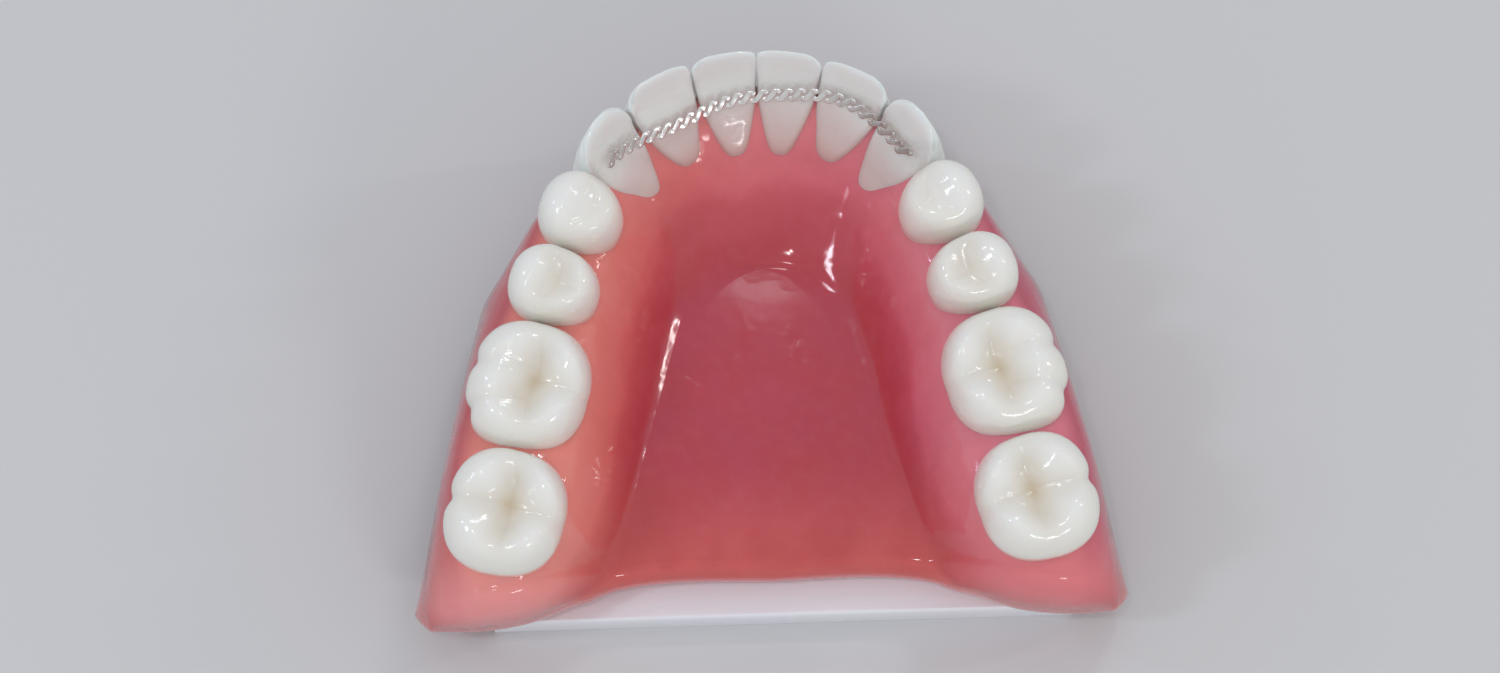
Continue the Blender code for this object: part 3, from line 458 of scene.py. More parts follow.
def makeTeeth(finishes):
    # each kind is worked out once and placed on both sides
    for kind in toothOrder:
        front = kind in frontTeeth
        slot = "front_tooth_resin" if front else "back_tooth_resin"
        points, marks = frontTooth(kind) if front else backTooth(kind)
        for sideName, side in sides.items():
            node = sideName + "_" + kind
            placed = placeTooth(points, kind, side)
            makeMesh(node + "_crown", placed, finishes[slot], [node], marks)
    print("teeth: 14 crowns")


# The pink gum: sections across the arch, carried round it from the front to the heels

gum = dict(
    baseHeight=3.3 * mm, floorHeight=7.6 * mm, heelDrop=7.9 * mm, heelRise=1.2 * mm,
    frontY=27.5 * mm, frontCornerHalfWidth=14.5 * mm, frontCornerSetback=4.0 * mm,
    frontCornerDraw=0.6, sideCornerDraw=0.3, sideCornerOverhang=3.2 * mm, sideCornerY=7.2 * mm,
    heelOverhang=9.0 * mm, cornerRounding=1.4 * mm, floorFrontHalfWidth=6.2 * mm,
    floorSideInset=8.5 * mm, floorFrontY=9.9 * mm, floorCornerSetback=0.9 * mm,
    floorRounding=5.2 * mm, floorStep=0.3 * mm, floorShares=(0.06, 0.3, 0.6, 1.0),
    spineInset=1.6 * mm, rearCrowding=1.3,
    # outer wall from the plate to the gum line: shares of the way in and of the way up
    outerWall=((0.0, 0.0), (0.12, 0.3), (0.32, 0.6), (0.58, 0.82), (0.82, 0.95), (1.0, 1.0)),
    # tongue wall from the gum line to the floor: shares of the way in and of the way down
    tongueWall=((0.12, 0.12), (0.34, 0.38), (0.6, 0.68), (0.82, 0.89), (0.93, 0.97), (1.0, 1.0)),
    # rear edge of the upper face: (share of the way out to the heel's corner, y)
    rearEdge=((0.0, -17.8 * mm), (0.366, -17.8 * mm), (0.525, -18.9 * mm), (0.685, -20.9 * mm),
                 (0.828, -21.4 * mm), (1.0, -20.8 * mm)),
    rearBulge=2.0 * mm, rearTuck=1.7 * mm, rearUpperShare=0.4, rearFullHeight=6.0 * mm,
    tongueMarginDrop=8.6 * mm, marginRiseBack=2.0 * mm,
    # gum between the teeth: its levels, and how far it keeps inside the tooth faces at each
    coreRiseFront=3.7 * mm, coreRiseBack=1.6 * mm, coreLevels=(0.0, 0.35, 0.7, 1.0),
    coreLipInset=(-0.05 * mm, 0.3 * mm, 0.6 * mm, 1.0 * mm),
    coreTongueInset=(-0.05 * mm, 0.5 * mm, 0.85 * mm, 1.1 * mm),
    coreBackShares=(0.94, 0.8, 0.55, 0.25), coreHeelShare=0.8, knotRounding=0.7,
    rearStretchFrom=0.8, outsideFade=2.0, frontSteps=8, pathTaps=25, knotTaps=9, rows=300,
    columns=132, rearRows=14,
)


def pathThrough(corners, share, rounding):
    # points at shares of the length of some straight runs, their corners rounded by local averaging
    corners = np.asarray(corners)
    steps = runLength(corners)
    at = share * steps[-1]
    shifts = np.linspace(-rounding, rounding, gum["pathTaps"])
    wanted = at[:, None] + shifts[None, :]
    x = np.sign(wanted) * np.interp(np.abs(wanted), steps, corners[:, 0])
    y = np.interp(np.abs(wanted), steps, corners[:, 1])
    points = np.stack([x.mean(1), y.mean(1)], -1)
    points[0, 0] = 0.0
    points[-1] = corners[-1]
    return points


def halfOutline(inset, rearY, count):
    # right half of the base outline, front midline to heel, drawn in by inset
    cornerX = gum["frontCornerHalfWidth"] - gum["frontCornerDraw"] * inset
    frontX = np.linspace(0.0, cornerX, gum["frontSteps"])
    frontY = gum["frontY"] - inset - gum["frontCornerSetback"] * (frontX / cornerX) ** 2
    sideX, sideY = arch["halfWidth"] - inset, gum["sideCornerY"] - gum["sideCornerDraw"] * inset
    corners = list(np.stack([frontX, frontY], -1))
    corners.append((sideX + gum["sideCornerOverhang"], sideY))
    corners.append((sideX + gum["heelOverhang"], rearY))
    return pathThrough(corners, np.linspace(0.0, 1.0, count), gum["cornerRounding"])


def floorEdge(share):
    # edge of the hollow's floor, from its front midline round a soft corner and straight to its rear
    halfWidth = arch["halfWidth"] - gum["floorSideInset"]
    frontY = gum["floorFrontY"]
    frontCorner = (gum["floorFrontHalfWidth"], frontY - gum["floorCornerSetback"])
    corners = [(0.0, frontY), frontCorner, (halfWidth, rearEdge(halfWidth))]
    return pathThrough(corners, share, gum["floorRounding"])


def rearEdge(x):
    # y of the rear edge of the upper face: forward at the hollow, with a rounded lobe at each heel
    at, y = zip(*gum["rearEdge"])
    return smooth(at, y, np.abs(x) / (arch["halfWidth"] + gum["heelOverhang"]))


def coreOffsets(kind, tall):
    # width of the gum between the teeth on both sides of the arch line, kept inside the tooth faces
    if kind in backTeeth:
        half = 0.5 * backTeeth[kind]["depth"] * np.array(gum["coreBackShares"])
        return half, half
    size, rise = frontTeeth[kind], gum["coreRiseFront"]
    margin = biteHeight - gum["tongueMarginDrop"] - neckHeight(kind)
    lipSide = lipOffset(size, tall * (margin + rise) / size["crown"])
    tongueSide = -tongueOffset(size, (margin + tall * rise) / size["crown"])
    return lipSide - gum["coreLipInset"], tongueSide - gum["coreTongueInset"]


def gumColumns(s, share):
    # points across the gum at each length s, from outer wall to floor, by fixed shares between edges
    baseZ = gum["baseHeight"]
    at, _, out = archFrame(s)
    tall = np.array(gum["coreLevels"])
    lengths = [0.0] + [toothMiddle[kind] for kind in toothOrder] + [toothReach]
    back = [kind in backTeeth for kind in toothOrder]
    necks = [neckHeight(kind) + gum["marginRiseBack"] * b for kind, b in zip(toothOrder, back)]
    margins = [neck if b else biteHeight - gum["tongueMarginDrop"] for neck, b in zip(necks, back)]
    heel = biteHeight - gum["heelDrop"]
    rises = [gum["coreRiseBack"] if b else gum["coreRiseFront"] for b in back]
    outer, inner = zip(*[coreOffsets(kind, tall) for kind in toothOrder])

    def alongArch(values, last):
        return smooth(lengths, [values[0], *values, last], s)

    def outwards(offset):
        return at + out * offset[:, None]

    neck = alongArch(necks, heel)
    margin = alongArch(margins, heel)
    rise = alongArch(rises, gum["heelRise"])
    outer = alongArch(outer, gum["coreHeelShare"] * outer[-1])
    inner = alongArch(inner, gum["coreHeelShare"] * inner[-1])
    base = halfOutline(0.0, rearEdge(arch["halfWidth"] + gum["heelOverhang"]), len(s))
    rearwards = share ** gum["rearCrowding"]
    floor = floorEdge(rearwards)
    spineFront = gum["floorFrontY"] - gum["spineInset"]
    spineY = rearEdge(0.0) + (spineFront - rearEdge(0.0)) * (1.0 - rearwards)
    spine = np.stack([np.zeros_like(spineY), spineY], -1)

    cheekEdge, tongueEdge = outwards(outer[:, 0]), outwards(-inner[:, 0])
    columns = []
    for across, up in gum["outerWall"]:
        columns.append((base + across * (cheekEdge - base), baseZ + up * (neck - baseZ)))
    for k in (1, 2, 3):
        columns.append((outwards(outer[:, k]), neck + tall[k] * (margin + rise - neck)))
    for k in (3, 2, 1, 0):
        columns.append((outwards(-inner[:, k]), margin + tall[k] * rise))
    fall = margin - gum["floorHeight"] - gum["floorStep"]
    for across, down in gum["tongueWall"]:
        columns.append((tongueEdge + across * (floor - tongueEdge), margin - down * fall))
    for across in gum["floorShares"]:
        columns.append((floor + across * (spine - floor), np.full_like(s, gum["floorHeight"])))
    return np.stack([np.column_stack([flat, height]) for flat, height in columns])


def rounded(knots, at):
    # straight runs between knots, rounded by averaging over most of a run on both sides
    total = 0.0
    for shift in np.linspace(-gum["knotRounding"], gum["knotRounding"], gum["knotTaps"]):
        where = np.clip(at + shift, 0.0, len(knots) - 1.0)
        low = np.minimum(where.astype(int), len(knots) - 2)
        part = (where - low)[:, None, None]
        total = total + (1.0 - part) * knots[low] + part * knots[low + 1]
    return total / gum["knotTaps"]


def makeGum(material):
    # half of the upper face as a grid of rounded sections, its rear wall added below, then both mirrored.
    # The mark is 1 on the outer wall and 0 inside it; the material paints shade where it is 1
    lastS = np.interp(-rearEdge(arch["halfWidth"]), -archY, archLength)
    share = np.linspace(0.0, 1.0, gum["rows"])
    knots = gumColumns(share * lastS, share)
    shift = rearEdge(knots[:, -1, 0]) - knots[:, -1, 1]
    stretchFrom = gum["rearStretchFrom"]
    knots[:, :, 1] += shift[:, None] * ease((share - stretchFrom) / (1.0 - stretchFrom))
    columnAt = np.linspace(0.0, len(knots) - 1.0, gum["columns"])
    top = rounded(knots, columnAt).transpose(1, 0, 2)
    top[:, 0] = knots[0]
    top[:, -1] = knots[-1]
    # the rear bulges out and tucks in again, along two quarter ellipses
    turn = quarterTurn(gum["rearRows"])[1:, None]
    edge = top[-1:]
    room = edge[..., 2] - gum["baseHeight"]
    full = np.clip(room / gum["rearFullHeight"], 0.0, 1.0)
    upper = np.repeat(edge, len(turn), axis=0)
    upper[..., 1] -= gum["rearBulge"] * full * np.sin(turn)
    upper[..., 2] -= gum["rearUpperShare"] * room * (1.0 - np.cos(turn))
    lower = np.repeat(upper[-1:], len(turn), axis=0)
    lower[..., 1] += gum["rearTuck"] * full * (1.0 - np.cos(turn))
    lower[..., 2] -= (1.0 - gum["rearUpperShare"]) * room * np.sin(turn)
    lower[-1, :, 2] = gum["baseHeight"]
    half = np.concatenate([top, upper, lower])
    half[0, :, 0] = 0.0
    half[:, -1, 0] = 0.0
    points = np.concatenate([half, half * (-1.0, 1.0, 1.0)]).reshape(-1, 3)
    faces = gridFaces(half, closed=False)
    faces = np.concatenate([faces, faces[:, ::-1] + len(points) // 2])
    outside = 1.0 - ease((columnAt - len(gum["outerWall"]) + 1.0) / gum["outsideFade"])
    marks = {"outside": np.broadcast_to(outside, (2, *half.shape[:2]))}
    makeMesh("pink_gum", points, material, ["gum_base"], marks, faces, sharpDegrees=50.0)
    print("gum:", len(points), "points")


# The white plate under the gum

plate = dict(
    inset=5.8 * mm, rearY=-21.7 * mm, shiftX=1.0 * mm, thickness=3.0 * mm,
    bevel=0.45 * mm, footBevel=0.15 * mm, outlineSteps=160, bevelSteps=9,
)


def makePlate(material):
    # the plate's outline carried up a profile with a rounded upper edge, closed at the middle of each face
    half = halfOutline(plate["inset"], plate["rearY"], plate["outlineSteps"])
    outline = np.concatenate([half, half[:0:-1] * (-1.0, 1.0)]) + (plate["shiftX"], 0.0)
    centre = outline.mean(axis=0)
    turn = quarterTurn(plate["bevelSteps"])
    bevel, foot, top = plate["bevel"], plate["footBevel"], plate["thickness"]
    drawIn = np.concatenate([[foot, 0.0], bevel * (1.0 - np.cos(turn))])
    height = np.concatenate([[0.0, foot], top - bevel + bevel * np.sin(turn)])
    rings = outline - drawIn[:, None, None] * unit(outline - centre)
    points = np.concatenate([rings, np.broadcast_to(height[:, None, None], (*rings.shape[:2], 1))], -1)
    low, high = (np.broadcast_to((*centre, z), (1, len(outline), 3)) for z in (0.0, top))
    points = np.concatenate([low, points, high])
    makeMesh("white_plate", points, material, ["base_plate"], sharpDegrees=40.0)
    print("plate: done")


# The retainer: S-shaped steel links in two layers, and the clear adhesive under them

chain = dict(
    drops=(3.5 * mm, 4.6 * mm, 4.1 * mm, 3.7 * mm, 2.9 * mm, 3.5 * mm), links=27,
    pastCanine=1.5 * mm, stripWidth=0.44 * mm, stripThickness=0.16 * mm, layerGap=0.05 * mm,
    halfHeight=0.4 * mm, extraLeanDegrees=12.0, clearance=0.13 * mm,
    # knots of half an S, as shares of the pitch, of the half height and of the way into its layer
    spineX=(0.0, 0.12, 0.24, 0.34, 0.45, 0.57, 0.68),
    spineY=(0.0, 0.38, 0.75, 0.97, 1.0, 0.82, 0.5), spineZ=(0.0, 0.1, 0.3, 0.6, 0.9, 1.0, 1.0),
    edgeSquareness=7, endSquareness=24, lineSteps=401, alongSteps=40, aroundSteps=24,
)
pad = dict(
    gap=0.1 * mm, halfWidthDegrees=44.0, halfHeight=0.8 * mm, thickness=0.15 * mm,
    # rings from the middle underneath, out round the rim and back over the top
    ringShares=(0.0, 0.5, 0.97, 1.0, 0.97, 0.85, 0.65, 0.4, 0.2, 0.0),
    ringLifts=(0.0, 0.0, 0.0, 0.2, 0.4, 0.62, 0.82, 0.95, 0.99, 1.0),
    aroundSteps=48,
)


def frontWorld(kind, side, angle, height):
    # world position of points on a front tooth's skin
    size = frontTeeth[kind]
    distal, outward, _ = frontSection(size, angle, height / size["crown"])
    at, along, out = archFrame(side * toothMiddle[kind])
    flat = at + (side * distal)[..., None] * along + outward[..., None] * out
    return np.concatenate([flat, (neckHeight(kind) + height)[..., None]], -1)


def tongueFace(kind, side, angle, height):
    # a point on the tongue side of a front tooth and the face's direction there, from two small steps
    stepAngle, stepHeight = 0.02, 0.05 * mm
    here = frontWorld(kind, side, angle, height)
    across = frontWorld(kind, side, angle + stepAngle, height) - here
    upward = frontWorld(kind, side, angle, height + stepHeight) - here
    normal = unit(np.cross(across, upward))
    _, _, out = archFrame(side * toothMiddle[kind])
    towardsLips = normal[..., 0] * out[0] + normal[..., 1] * out[1]
    return here, np.where((towardsLips > 0.0)[..., None], -normal, normal)


def chainHeight(kind, side):
    # the drops run from the left canine to the right one
    place = toothOrder.index(kind)
    return biteHeight - chain["drops"][3 + place if side > 0 else 2 - place]


def chainLine():
    # the chain's middle line, its directions and its length: it stands off each tooth's face by the pad
    # and one layer, and leans with the face
    standOff = pad["gap"] + pad["thickness"] + chain["clearance"]
    standOff = standOff + chain["stripThickness"] + chain["layerGap"]
    lengths, offsets, leans = [], [], []
    for side in (-1, 1):
        for kind in frontTeeth:
            angle = np.array([-0.5 * math.pi])
            height = np.array([chainHeight(kind, side) - neckHeight(kind)])
            face, normal = tongueFace(kind, side, angle, height)
            at, _, out = archFrame(side * toothMiddle[kind])
            inward = -float(normal[0, :2] @ out)
            lengths.append(side * toothMiddle[kind])
            offsets.append(-float((face[0, :2] - at) @ out) + standOff * inward)
            leans.append(math.atan2(float(normal[0, 2]), inward))
    order = np.argsort(lengths)
    lengths = np.array(lengths)[order]
    end = toothMiddle["canine"] + chain["pastCanine"]
    s = np.linspace(-end, end, chain["lineSteps"])
    offset = smooth(lengths, np.array(offsets)[order], s)
    lean = smooth(lengths, np.array(leans)[order], s) + math.radians(chain["extraLeanDegrees"])
    at, _, out = archFrame(s)
    height = biteHeight - smooth(lengths, chain["drops"], s) + standOff * np.sin(lean)
    line = np.column_stack([at - out * offset[:, None], height])
    along = unit(np.gradient(line, axis=0))
    facing = np.column_stack([-out * np.cos(lean)[:, None], np.sin(lean)])
    facing = unit(facing - np.sum(facing * along, axis=1, keepdims=True) * along)
    return line, along, np.cross(facing, along), facing, runLength(line)


def linkSpine(pitch):
    # middle line of one S link: half of it from knots, the other half turned about the middle
    layer = 0.5 * (chain["stripThickness"] + chain["layerGap"])
    spine = []
    for name, scale in (("spineX", pitch), ("spineY", chain["halfHeight"]), ("spineZ", layer)):
        knots = np.arange(len(chain[name]))
        half = scale * smooth(knots, chain[name], np.linspace(0.0, knots[-1], chain["alongSteps"]))
        spine.append(np.concatenate([-half[:0:-1], half]))
    return spine


def makeChain(material):
    # a flat strip with rounded edges, carried along the S and bent with the chain's line
    line, along, across, facing, length = chainLine()
    count = chain["links"]
    pitch = length[-1] / count
    x, y, z = linkSpine(pitch)
    stepX, stepY = np.gradient(x), np.gradient(y)
    size = np.hypot(stepX, stepY)
    sideX, sideY = -stepY / size, stepX / size
    angle = fullTurn(chain["aroundSteps"])
    cos, sin = np.cos(angle), np.sin(angle)
    square = chain["edgeSquareness"]
    reach = (np.abs(cos) ** square + np.abs(sin) ** square) ** (-1.0 / square)
    fromMiddle = np.linspace(-1.0, 1.0, len(x))[:, None]
    fade = np.sqrt(1.0 - fromMiddle ** chain["endSquareness"])
    wide = 0.5 * chain["stripWidth"] * reach * cos * fade
    thick = 0.5 * chain["stripThickness"] * reach * sin * fade
    px = x[:, None] + wide * sideX[:, None]
    py = y[:, None] + wide * sideY[:, None]
    pz = z[:, None] + thick
    for i in range(count):
        where = (i + 0.5) * pitch + px
        origin, ahead, up, face = (np.stack([np.interp(where, length, d[:, k]) for k in range(3)], -1)
                                   for d in (line, along, across, facing))
        beyond = where - np.clip(where, length[0], length[-1])
        points = origin + beyond[..., None] * ahead + py[..., None] * up + pz[..., None] * face
        node = "chain_link_%02d" % (i + 1)
        makeMesh(node + "_strip", points, material, [node])
    print("chain:", count, "links")


def makePads(material):
    # a thin lens of adhesive on each front tooth: rings over its face, raised towards the middle
    turn = fullTurn(pad["aroundSteps"])
    share = np.array(pad["ringShares"])[:, None]
    lift = np.array(pad["ringLifts"])[:, None]
    for sideName, side in sides.items():
        for kind in frontTeeth:
            middle = chainHeight(kind, side) - neckHeight(kind)
            angle = -0.5 * math.pi + share * math.radians(pad["halfWidthDegrees"]) * np.cos(turn)
            height = middle + share * pad["halfHeight"] * np.sin(turn)
            face, normal = tongueFace(kind, side, angle, height)
            points = face + normal * (pad["gap"] + lift * pad["thickness"])[..., None]
            node = "bond_" + sideName + "_" + kind
            makeMesh(node + "_lens", points, material, [node])
    print("adhesive: 6 lenses")


# Finishes

class Wire:
    # an output socket whose value maths can be written as a Python expression
    def __init__(self, tree, socket):
        self.tree = tree
        self.socket = socket

    def join(self, operation, first, second):
        node = self.tree.nodes.new("ShaderNodeMath")
        node.operation = operation
        feed(self.tree, node.inputs[0], first)
        feed(self.tree, node.inputs[1], second)
        return Wire(self.tree, node.outputs[0])

    def __add__(self, other):
        return self.join("ADD", self, other)

    def __sub__(self, other):
        return self.join("SUBTRACT", self, other)

    def __rsub__(self, other):
        return self.join("SUBTRACT", other, self)

    def __mul__(self, other):
        return self.join("MULTIPLY", self, other)

    __radd__ = __add__
    __rmul__ = __mul__


def feed(tree, socket, value):
    # links a wire to a socket, or sets the socket's own value, a colour without its alpha
    if isinstance(value, Wire):
        tree.links.new(value.socket, socket)
    else:
        socket.default_value = (*value, 1.0) if socket.type == "RGBA" else value


class Finish:
    # one material: its shader's own values first, then nodes that feed it
    def __init__(self, name, values):
        self.material = bpy.data.materials.new(name)
        self.material.use_nodes = True
        self.tree = self.material.node_tree
        self.shader = self.tree.nodes["Principled BSDF"]
        for socket, value in values.items():
            self.set(socket, value)

    def set(self, socket, value):
        feed(self.tree, self.shader.inputs[socket.replace("_", " ")], value)

    def node(self, kind, inputs, output=0, **settings):
        made = self.tree.nodes.new(kind)
        for key, value in settings.items():
            setattr(made, key, value)
        for key, value in inputs.items():
            feed(self.tree, made.inputs[key], value)
        return Wire(self.tree, made.outputs[output])

    def place(self):
        return self.node("ShaderNodeTexCoord", {}, "Object")

    def mark(self, name):
        return self.node("ShaderNodeAttribute", {}, "Fac", attribute_name=name)

    def axis(self, name):
        return self.node("ShaderNodeSeparateXYZ", {0: self.place()}, name)

    def noise(self, scale, detail, roughness=0.5, stretch=(1.0, 1.0, 1.0)):
        place = self.node("ShaderNodeVectorMath", {0: self.place(), 1: stretch}, operation="MULTIPLY")
        inputs = {"Vector": place, "Scale": scale, "Detail": detail, "Roughness": roughness}
        return self.node("ShaderNodeTexNoise", inputs)

    def mix(self, factor, first, second):
        return self.node("ShaderNodeMix", {0: factor, 6: first, 7: second}, 2, data_type="RGBA")

    def blend(self, value, low, high):
        # 0 below low, 1 above high
        return self.node("ShaderNodeMapRange", {"Value": value, "From Min": low, "From Max": high})

    def done(self, skin, roughness, height, distance, strength):
        # gives the shader its colour, its roughness and its bumps, and hands the material out
        bumps = {"Height": height, "Distance": distance, "Strength": strength}
        self.set("Base_Color", skin)
        self.set("Roughness", roughness)
        self.set("Normal", self.node("ShaderNodeBump", bumps))
        return self.material

    def spots(self, noise, low, high):
        return self.blend(self.noise(*noise), low, high)


gumLook = dict(
    shader=dict(Coat_Weight=0.15, Coat_Roughness=0.04, IOR=1.45, Subsurface_Weight=0.3,
                Subsurface_Scale=1.5 * mm, Subsurface_Radius=(1.0, 0.25, 0.3)),
    # blends along x, y or z: start, end and how far the clouds shift them, in millimetres
    across=(-18.0, 20.0, 12.0),
    high=(7.7, 11.5, 3.0), ridge=(10.5, 14.5, 3.0),
    filletStart=(7.4, 8.2, 3.0), filletEnd=(8.6, 11.2, 3.0),
    rear=(-9.0, -21.0, 0.0), corner=(-15.0, -21.5, 6.0),
    heel=(-18.5, -24.5, 4.0), cornerFade=0.75,
    # the floor colours, front then rear, are painted shade in the hollow, deepest at its front and lifted
    # by painted light towards its open rear
    floor=((0.51, 0.062, 0.10), (0.68, 0.13, 0.115)),
    # the wall colours, left then right, are a painted tint of warm light on the left and cooler, pinker
    # light on the right
    wall=((0.72, 0.14, 0.12), (0.68, 0.12, 0.20)),
    # layers over them in their order: share, colour, and another colour on the right if it differs, where
    # the light is painted with another tint on that side
    # painted shade in the crease where the walls meet the floor
    filletShade=(0.6, (0.50, 0.05, 0.058)),
    patch=(0.28, (0.50, 0.07, 0.075)),
    # painted light on the top of the ridge beside the teeth
    ridgeTopLight=(1.0, (0.85, 0.26, 0.22), (0.80, 0.23, 0.30)),
    # painted highlight on the high rear of the gum
    rearHighlight=(0.5, (0.98, 0.38, 0.32), (0.86, 0.22, 0.20)),
    # painted shade on the outer wall, fading towards the heels' corners
    shade=(0.8, (0.50, 0.09, 0.12), (0.48, 0.08, 0.13)),
    # painted reflection, pale pink, on the high rear of the heels
    heelReflection=(0.5, (0.88, 0.38, 0.46), (0.80, 0.26, 0.26)),
    speck=(0.05, (0.75, 0.28, 0.3)),
    # noises: scale and detail, for spots also the span over which they appear
    clouds=(130.0, 3.0), patches=((240.0, 3.0), 0.5, 0.72), specks=((900.0, 4.0), 0.45, 0.75),
    wave=(380.0, 2.0, 0.5, (1.0, 1.0, 0.3)), swell=(170.0, 1.0),
    roughness=(0.05, 0.08), swellShare=1.6, floorBump=0.05, bump=(0.3 * mm, 0.8),
)


def gumFinish():
    # translucent pink acrylic with a slightly wavy polish. Its colour holds painted light and shade: a warm
    # tint of light on one side and a cool one on the other, painted shade on the floor, in the crease at
    # its edge and on the outer wall, and a painted highlight and reflection on the ridge's top and the
    # heels
    look = gumLook
    finish = Finish("polished_pink_acrylic", look["shader"])
    clouds = finish.noise(*look["clouds"])
    drift = clouds - 0.5

    def along(axis, name):
        low, high, shift = (mm * place for place in look[name])
        return finish.blend(finish.axis(axis) + drift * shift, low, high)

    # across carries the painted tint of light from left to right
    across, high, rear = along("X", "across"), along("Z", "high"), along("Y", "rear")
    layers = {
        # painted shade in the crease between the walls and the floor
        "filletShade": along("Z", "filletStart") * (1.0 - along("Z", "filletEnd")),
        "patch": finish.spots(*look["patches"]),
        # painted light along the top of the ridge
        "ridgeTopLight": along("Z", "ridge"),
        # painted highlight on the high rear
        "rearHighlight": rear * high,
        # painted shade on the outer wall, fading towards the heels' corners
        "shade": finish.mark("outside") * (1.0 - look["cornerFade"] * along("Y", "corner")),
        # painted reflection on the high rear of the heels
        "heelReflection": along("Y", "heel") * high,
        "speck": finish.spots(*look["specks"]),
    }
    # painted shade: the floor is darker than the walls that rise from it
    skin = finish.mix(high, finish.mix(rear, *look["floor"]), finish.mix(across, *look["wall"]))
    # each layer with two colours takes the same painted left-to-right tint of light
    for name, where in layers.items():
        share, left, *right = look[name]
        skin = finish.mix(where * share, skin, finish.mix(across, left, *right) if right else left)
    low, gain = look["roughness"]
    waves = finish.noise(*look["wave"]) + look["swellShare"] * finish.noise(*look["swell"])
    onFloor = look["floorBump"]
    height = waves * (onFloor + (1.0 - onFloor) * high)
    return finish.done(skin, low + gain * clouds, height, *look["bump"])


# Spans are shares of the crown's height, then how far the clouds shift them
toothLook = dict(
    shader=dict(Coat_Weight=0.15, Coat_Roughness=0.04, IOR=1.46, Subsurface_Weight=0.3,
                Subsurface_Scale=1.2 * mm, Subsurface_Radius=(1.0, 0.8, 0.6)),
    bodySpan=(0.15, 0.6, 0.12), tipSpan=(0.7, 1.0, 0.1), stainSpan=(0.0, 0.8),
    clouds=(350.0, 3.0), ripples=(620.0, 3.0, 0.6),
    roughness=(0.1, 0.08, 0.12), bump=(0.09 * mm, 0.7),
)
toothColours = dict(
    back_tooth_resin=dict(neck=(0.74, 0.62, 0.52), body=(0.87, 0.85, 0.785),
                          tip=(0.90, 0.895, 0.865), ivory=(0.64, 0.53, 0.38)),
    front_tooth_resin=dict(neck=(0.66, 0.45, 0.42), body=(0.81, 0.82, 0.79),
                           tip=(0.83, 0.875, 0.865), ivory=(0.60, 0.47, 0.32)),
)


def toothFinish(name):
    # milky resin: whiter tips, warmer necks, ivory in the hollows of the biting face
    look, colours = toothLook, toothColours[name]
    finish = Finish(name, look["shader"])
    height, stain = finish.mark("heightShare"), finish.mark("stain")
    clouds = finish.noise(*look["clouds"])
    skin = colours["neck"]
    for part in ("body", "tip"):
        low, high, shift = look[part + "Span"]
        skin = finish.mix(finish.blend(height + (clouds - 0.5) * shift, low, high), skin, colours[part])
    skin = finish.mix(finish.blend(stain, *look["stainSpan"]), skin, colours["ivory"])
    low, gain, stainGain = look["roughness"]
    roughness = low + gain * clouds + stainGain * stain
    return finish.done(skin, roughness, finish.noise(*look["ripples"]), *look["bump"])


steelLook = dict(
    # the dark colour is both the tarnish of the patches and the painted dark reflection at the two ends,
    # which lie between these x values
    bright=(0.9, 0.89, 0.87), tarnishAndDarkReflection=(0.27, 0.19, 0.16),
    leftEnd=(-9.5 * mm, -13.5 * mm), rightEnd=(5.5 * mm, 9.5 * mm), rightShare=0.8,
    patches=((420.0, 3.0), 0.5, 0.72), patchShare=0.35, darkReflectionShare=0.65,
    scratches=(6000.0, 2.0), roughness=(0.18, 0.14, 0.1), bump=(0.008 * mm, 0.5),
)


def steelFinish():
    # bright strip with fine scratches, tarnished in patches, and darkened towards its two ends by a painted
    # dark reflection
    look = steelLook
    finish = Finish("bright_steel_strip", {"Metallic": 1.0})
    scratches = finish.noise(*look["scratches"])
    patches = finish.spots(*look["patches"])
    x = finish.axis("X")
    # painted dark reflection: darker towards both ends of the chain, less on the right
    ends = finish.blend(x, *look["leftEnd"]) + look["rightShare"] * finish.blend(x, *look["rightEnd"])
    tarnishAndReflection = finish.blend(patches * look["patchShare"] + ends * look["darkReflectionShare"], 0.0, 1.0)
    skin = finish.mix(tarnishAndReflection, look["bright"], look["tarnishAndDarkReflection"])
    low, gain, patchGain = look["roughness"]
    roughness = low + gain * scratches + patchGain * patches
    return finish.done(skin, roughness, scratches, *look["bump"])


plateLook = dict(
    shader=dict(Coat_Weight=0.1, Coat_Roughness=0.3, IOR=1.47),
    colours=((0.86, 0.86, 0.92), (0.90, 0.90, 0.95)), clouds=(110.0, 2.0),
    grain=(2600.0, 4.0), roughness=(0.42, 0.12), bump=(0.03 * mm, 0.5),
)
adhesiveLook = dict(
    shader=dict(Alpha=0.05, Coat_Weight=0.25, IOR=1.35), colours=((0.9, 0.88, 0.85),),
    grain=(1400.0, 2.0), roughness=(0.05, 0.12), bump=(0.04 * mm, 0.5),
)


def grainyFinish(name, look):
    # plain plastic or resin: one grain gives its roughness and its bumps, clouds blend its colours
    finish = Finish(name, look["shader"])
    grain = finish.noise(*look["grain"])
    skin, *other = look["colours"]
    if other:
        skin = finish.mix(finish.noise(*look["clouds"]), skin, *other)
    low, gain = look["roughness"]
    return finish.done(skin, low + gain * grain, grain, *look["bump"])


# Floor, lamps and camera

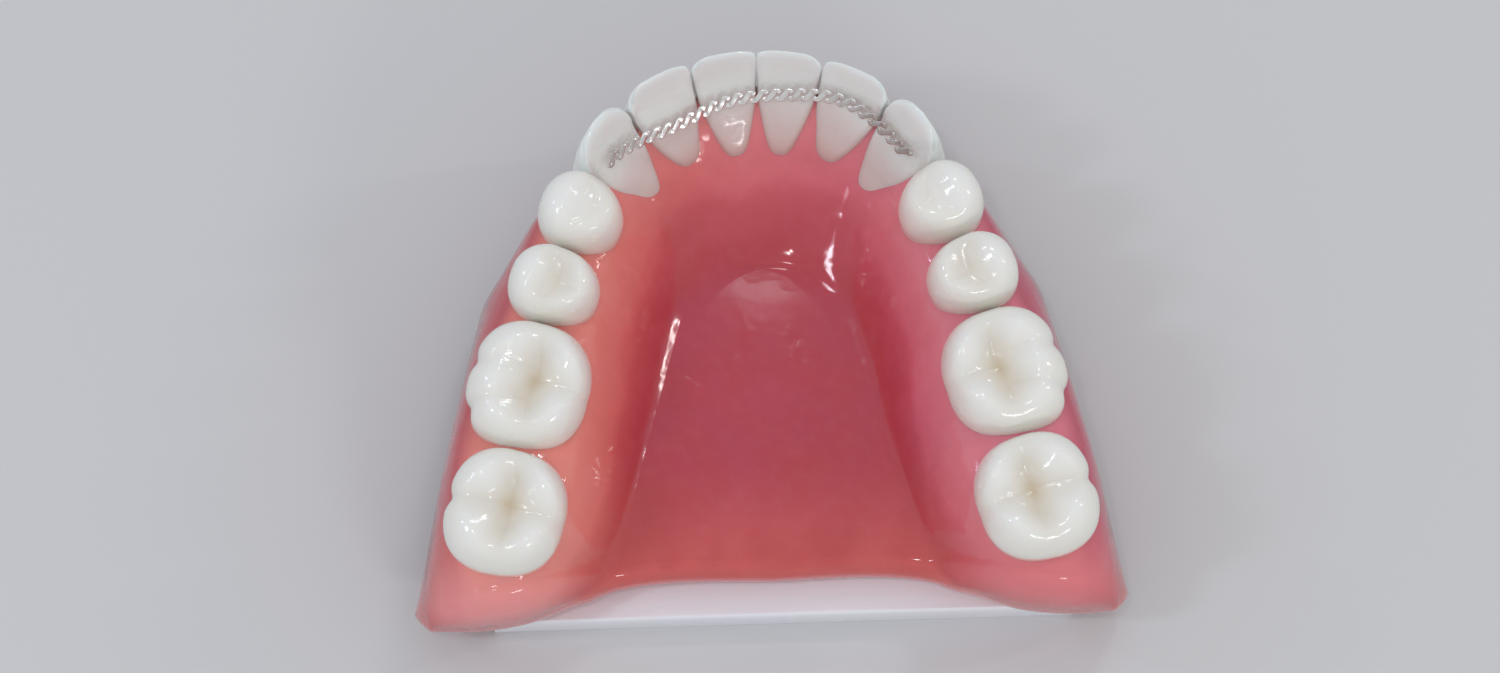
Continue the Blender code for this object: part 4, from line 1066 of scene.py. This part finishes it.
studio = dict(
    floorSize=1.2, floorColour=(0.65, 0.65, 0.66), worldColour=(0.9, 0.92, 0.95),
    worldStrength=0.62, target=(-1.33 * mm, -1.0 * mm, 18.0 * mm), distance=250.0 * mm,
    azimuth=-1.8, elevation=70.0, lens=70.2, sensorWidth=36.0, nearClip=0.01,
    # name, direction (azimuth, elevation), distance, size across, size up, watts, colour
    lamps=(
        ("softbox_left", -74.0, 50.0, 0.36, 0.028, 0.055, 0.13, (0.84, 0.89, 1.0)),
        ("softbox_near", 24.0, 27.0, 0.42, 0.11, 0.035, 0.19, (1.0, 0.98, 0.96)),
        ("softbox_far", 150.0, 55.0, 0.40, 0.06, 0.03, 0.12, (0.93, 0.96, 1.0)),
        ("strip_right", 99.0, 34.0, 0.34, 0.006, 0.08, 0.06, (1.0, 0.98, 0.95)),
        ("strip_cool", -104.0, 38.0, 0.34, 0.010, 0.025, 0.04, (0.70, 0.76, 1.0)),
        ("small_window", 177.0, 67.3, 0.40, 0.016, 0.006, 0.0016, (1.0, 1.0, 1.0)),
        ("small_spark", -24.0, 74.0, 0.30, 0.012, 0.012, 0.05, (1.0, 1.0, 1.0)),
    ),
)


def standAround(name, data, azimuth, elevation, distance):
    # places a lamp or the camera so that it faces the target, the azimuth counted in degrees from the
    # viewer's side to the right
    a, e = math.radians(azimuth), math.radians(elevation)
    away = Vector((math.sin(a) * math.cos(e), -math.cos(a) * math.cos(e), math.sin(e)))
    holder = bpy.data.objects.new(name, data)
    holder.location = Vector(studio["target"]) + away * distance
    holder.rotation_euler = (-away).to_track_quat("-Z", "Y").to_euler()
    bpy.context.scene.collection.objects.link(holder)
    return holder


def makeStudio():
    scene = bpy.context.scene
    half = studio["floorSize"] / 2
    corners = [(-half, -half, 0.0), (half, -half, 0.0), (half, half, 0.0), (-half, half, 0.0)]
    mesh = bpy.data.meshes.new("table_top")
    mesh.from_pydata(corners, [], [(0, 1, 2, 3)])
    table = Finish("pale_table", {"Base_Color": studio["floorColour"], "Roughness": 0.8})
    mesh.materials.append(table.material)
    floor = bpy.data.objects.new("table_top", mesh)
    scene.collection.objects.link(floor)

    world = bpy.data.worlds.new("studio_air")
    scene.world = world
    world.use_nodes = True
    sky = world.node_tree.nodes["Background"]
    feed(world.node_tree, sky.inputs["Color"], studio["worldColour"])
    feed(world.node_tree, sky.inputs["Strength"], studio["worldStrength"])

    for name, azimuth, elevation, distance, across, up, watts, tint in studio["lamps"]:
        lamp = bpy.data.lights.new(name, "AREA")
        lamp.shape = "RECTANGLE"
        lamp.size = across
        lamp.size_y = up
        lamp.energy = watts
        lamp.color = tint
        standAround(name, lamp, azimuth, elevation, distance)

    lens = bpy.data.cameras.new("camera")
    lens.lens = studio["lens"]
    lens.sensor_width = studio["sensorWidth"]
    lens.clip_start = studio["nearClip"]
    scene.camera = standAround("camera", lens, studio["azimuth"], studio["elevation"], studio["distance"])
    scene.view_settings.view_transform = "Standard"
    print("studio: floor, lamps and camera")


def main():
    finishes = {name: toothFinish(name) for name in toothColours}
    makeStudio()
    makeGum(gumFinish())
    makePlate(grainyFinish("white_moulded_plate", plateLook))
    makeTeeth(finishes)
    makePads(grainyFinish("clear_adhesive_resin", adhesiveLook))
    makeChain(steelFinish())


main()
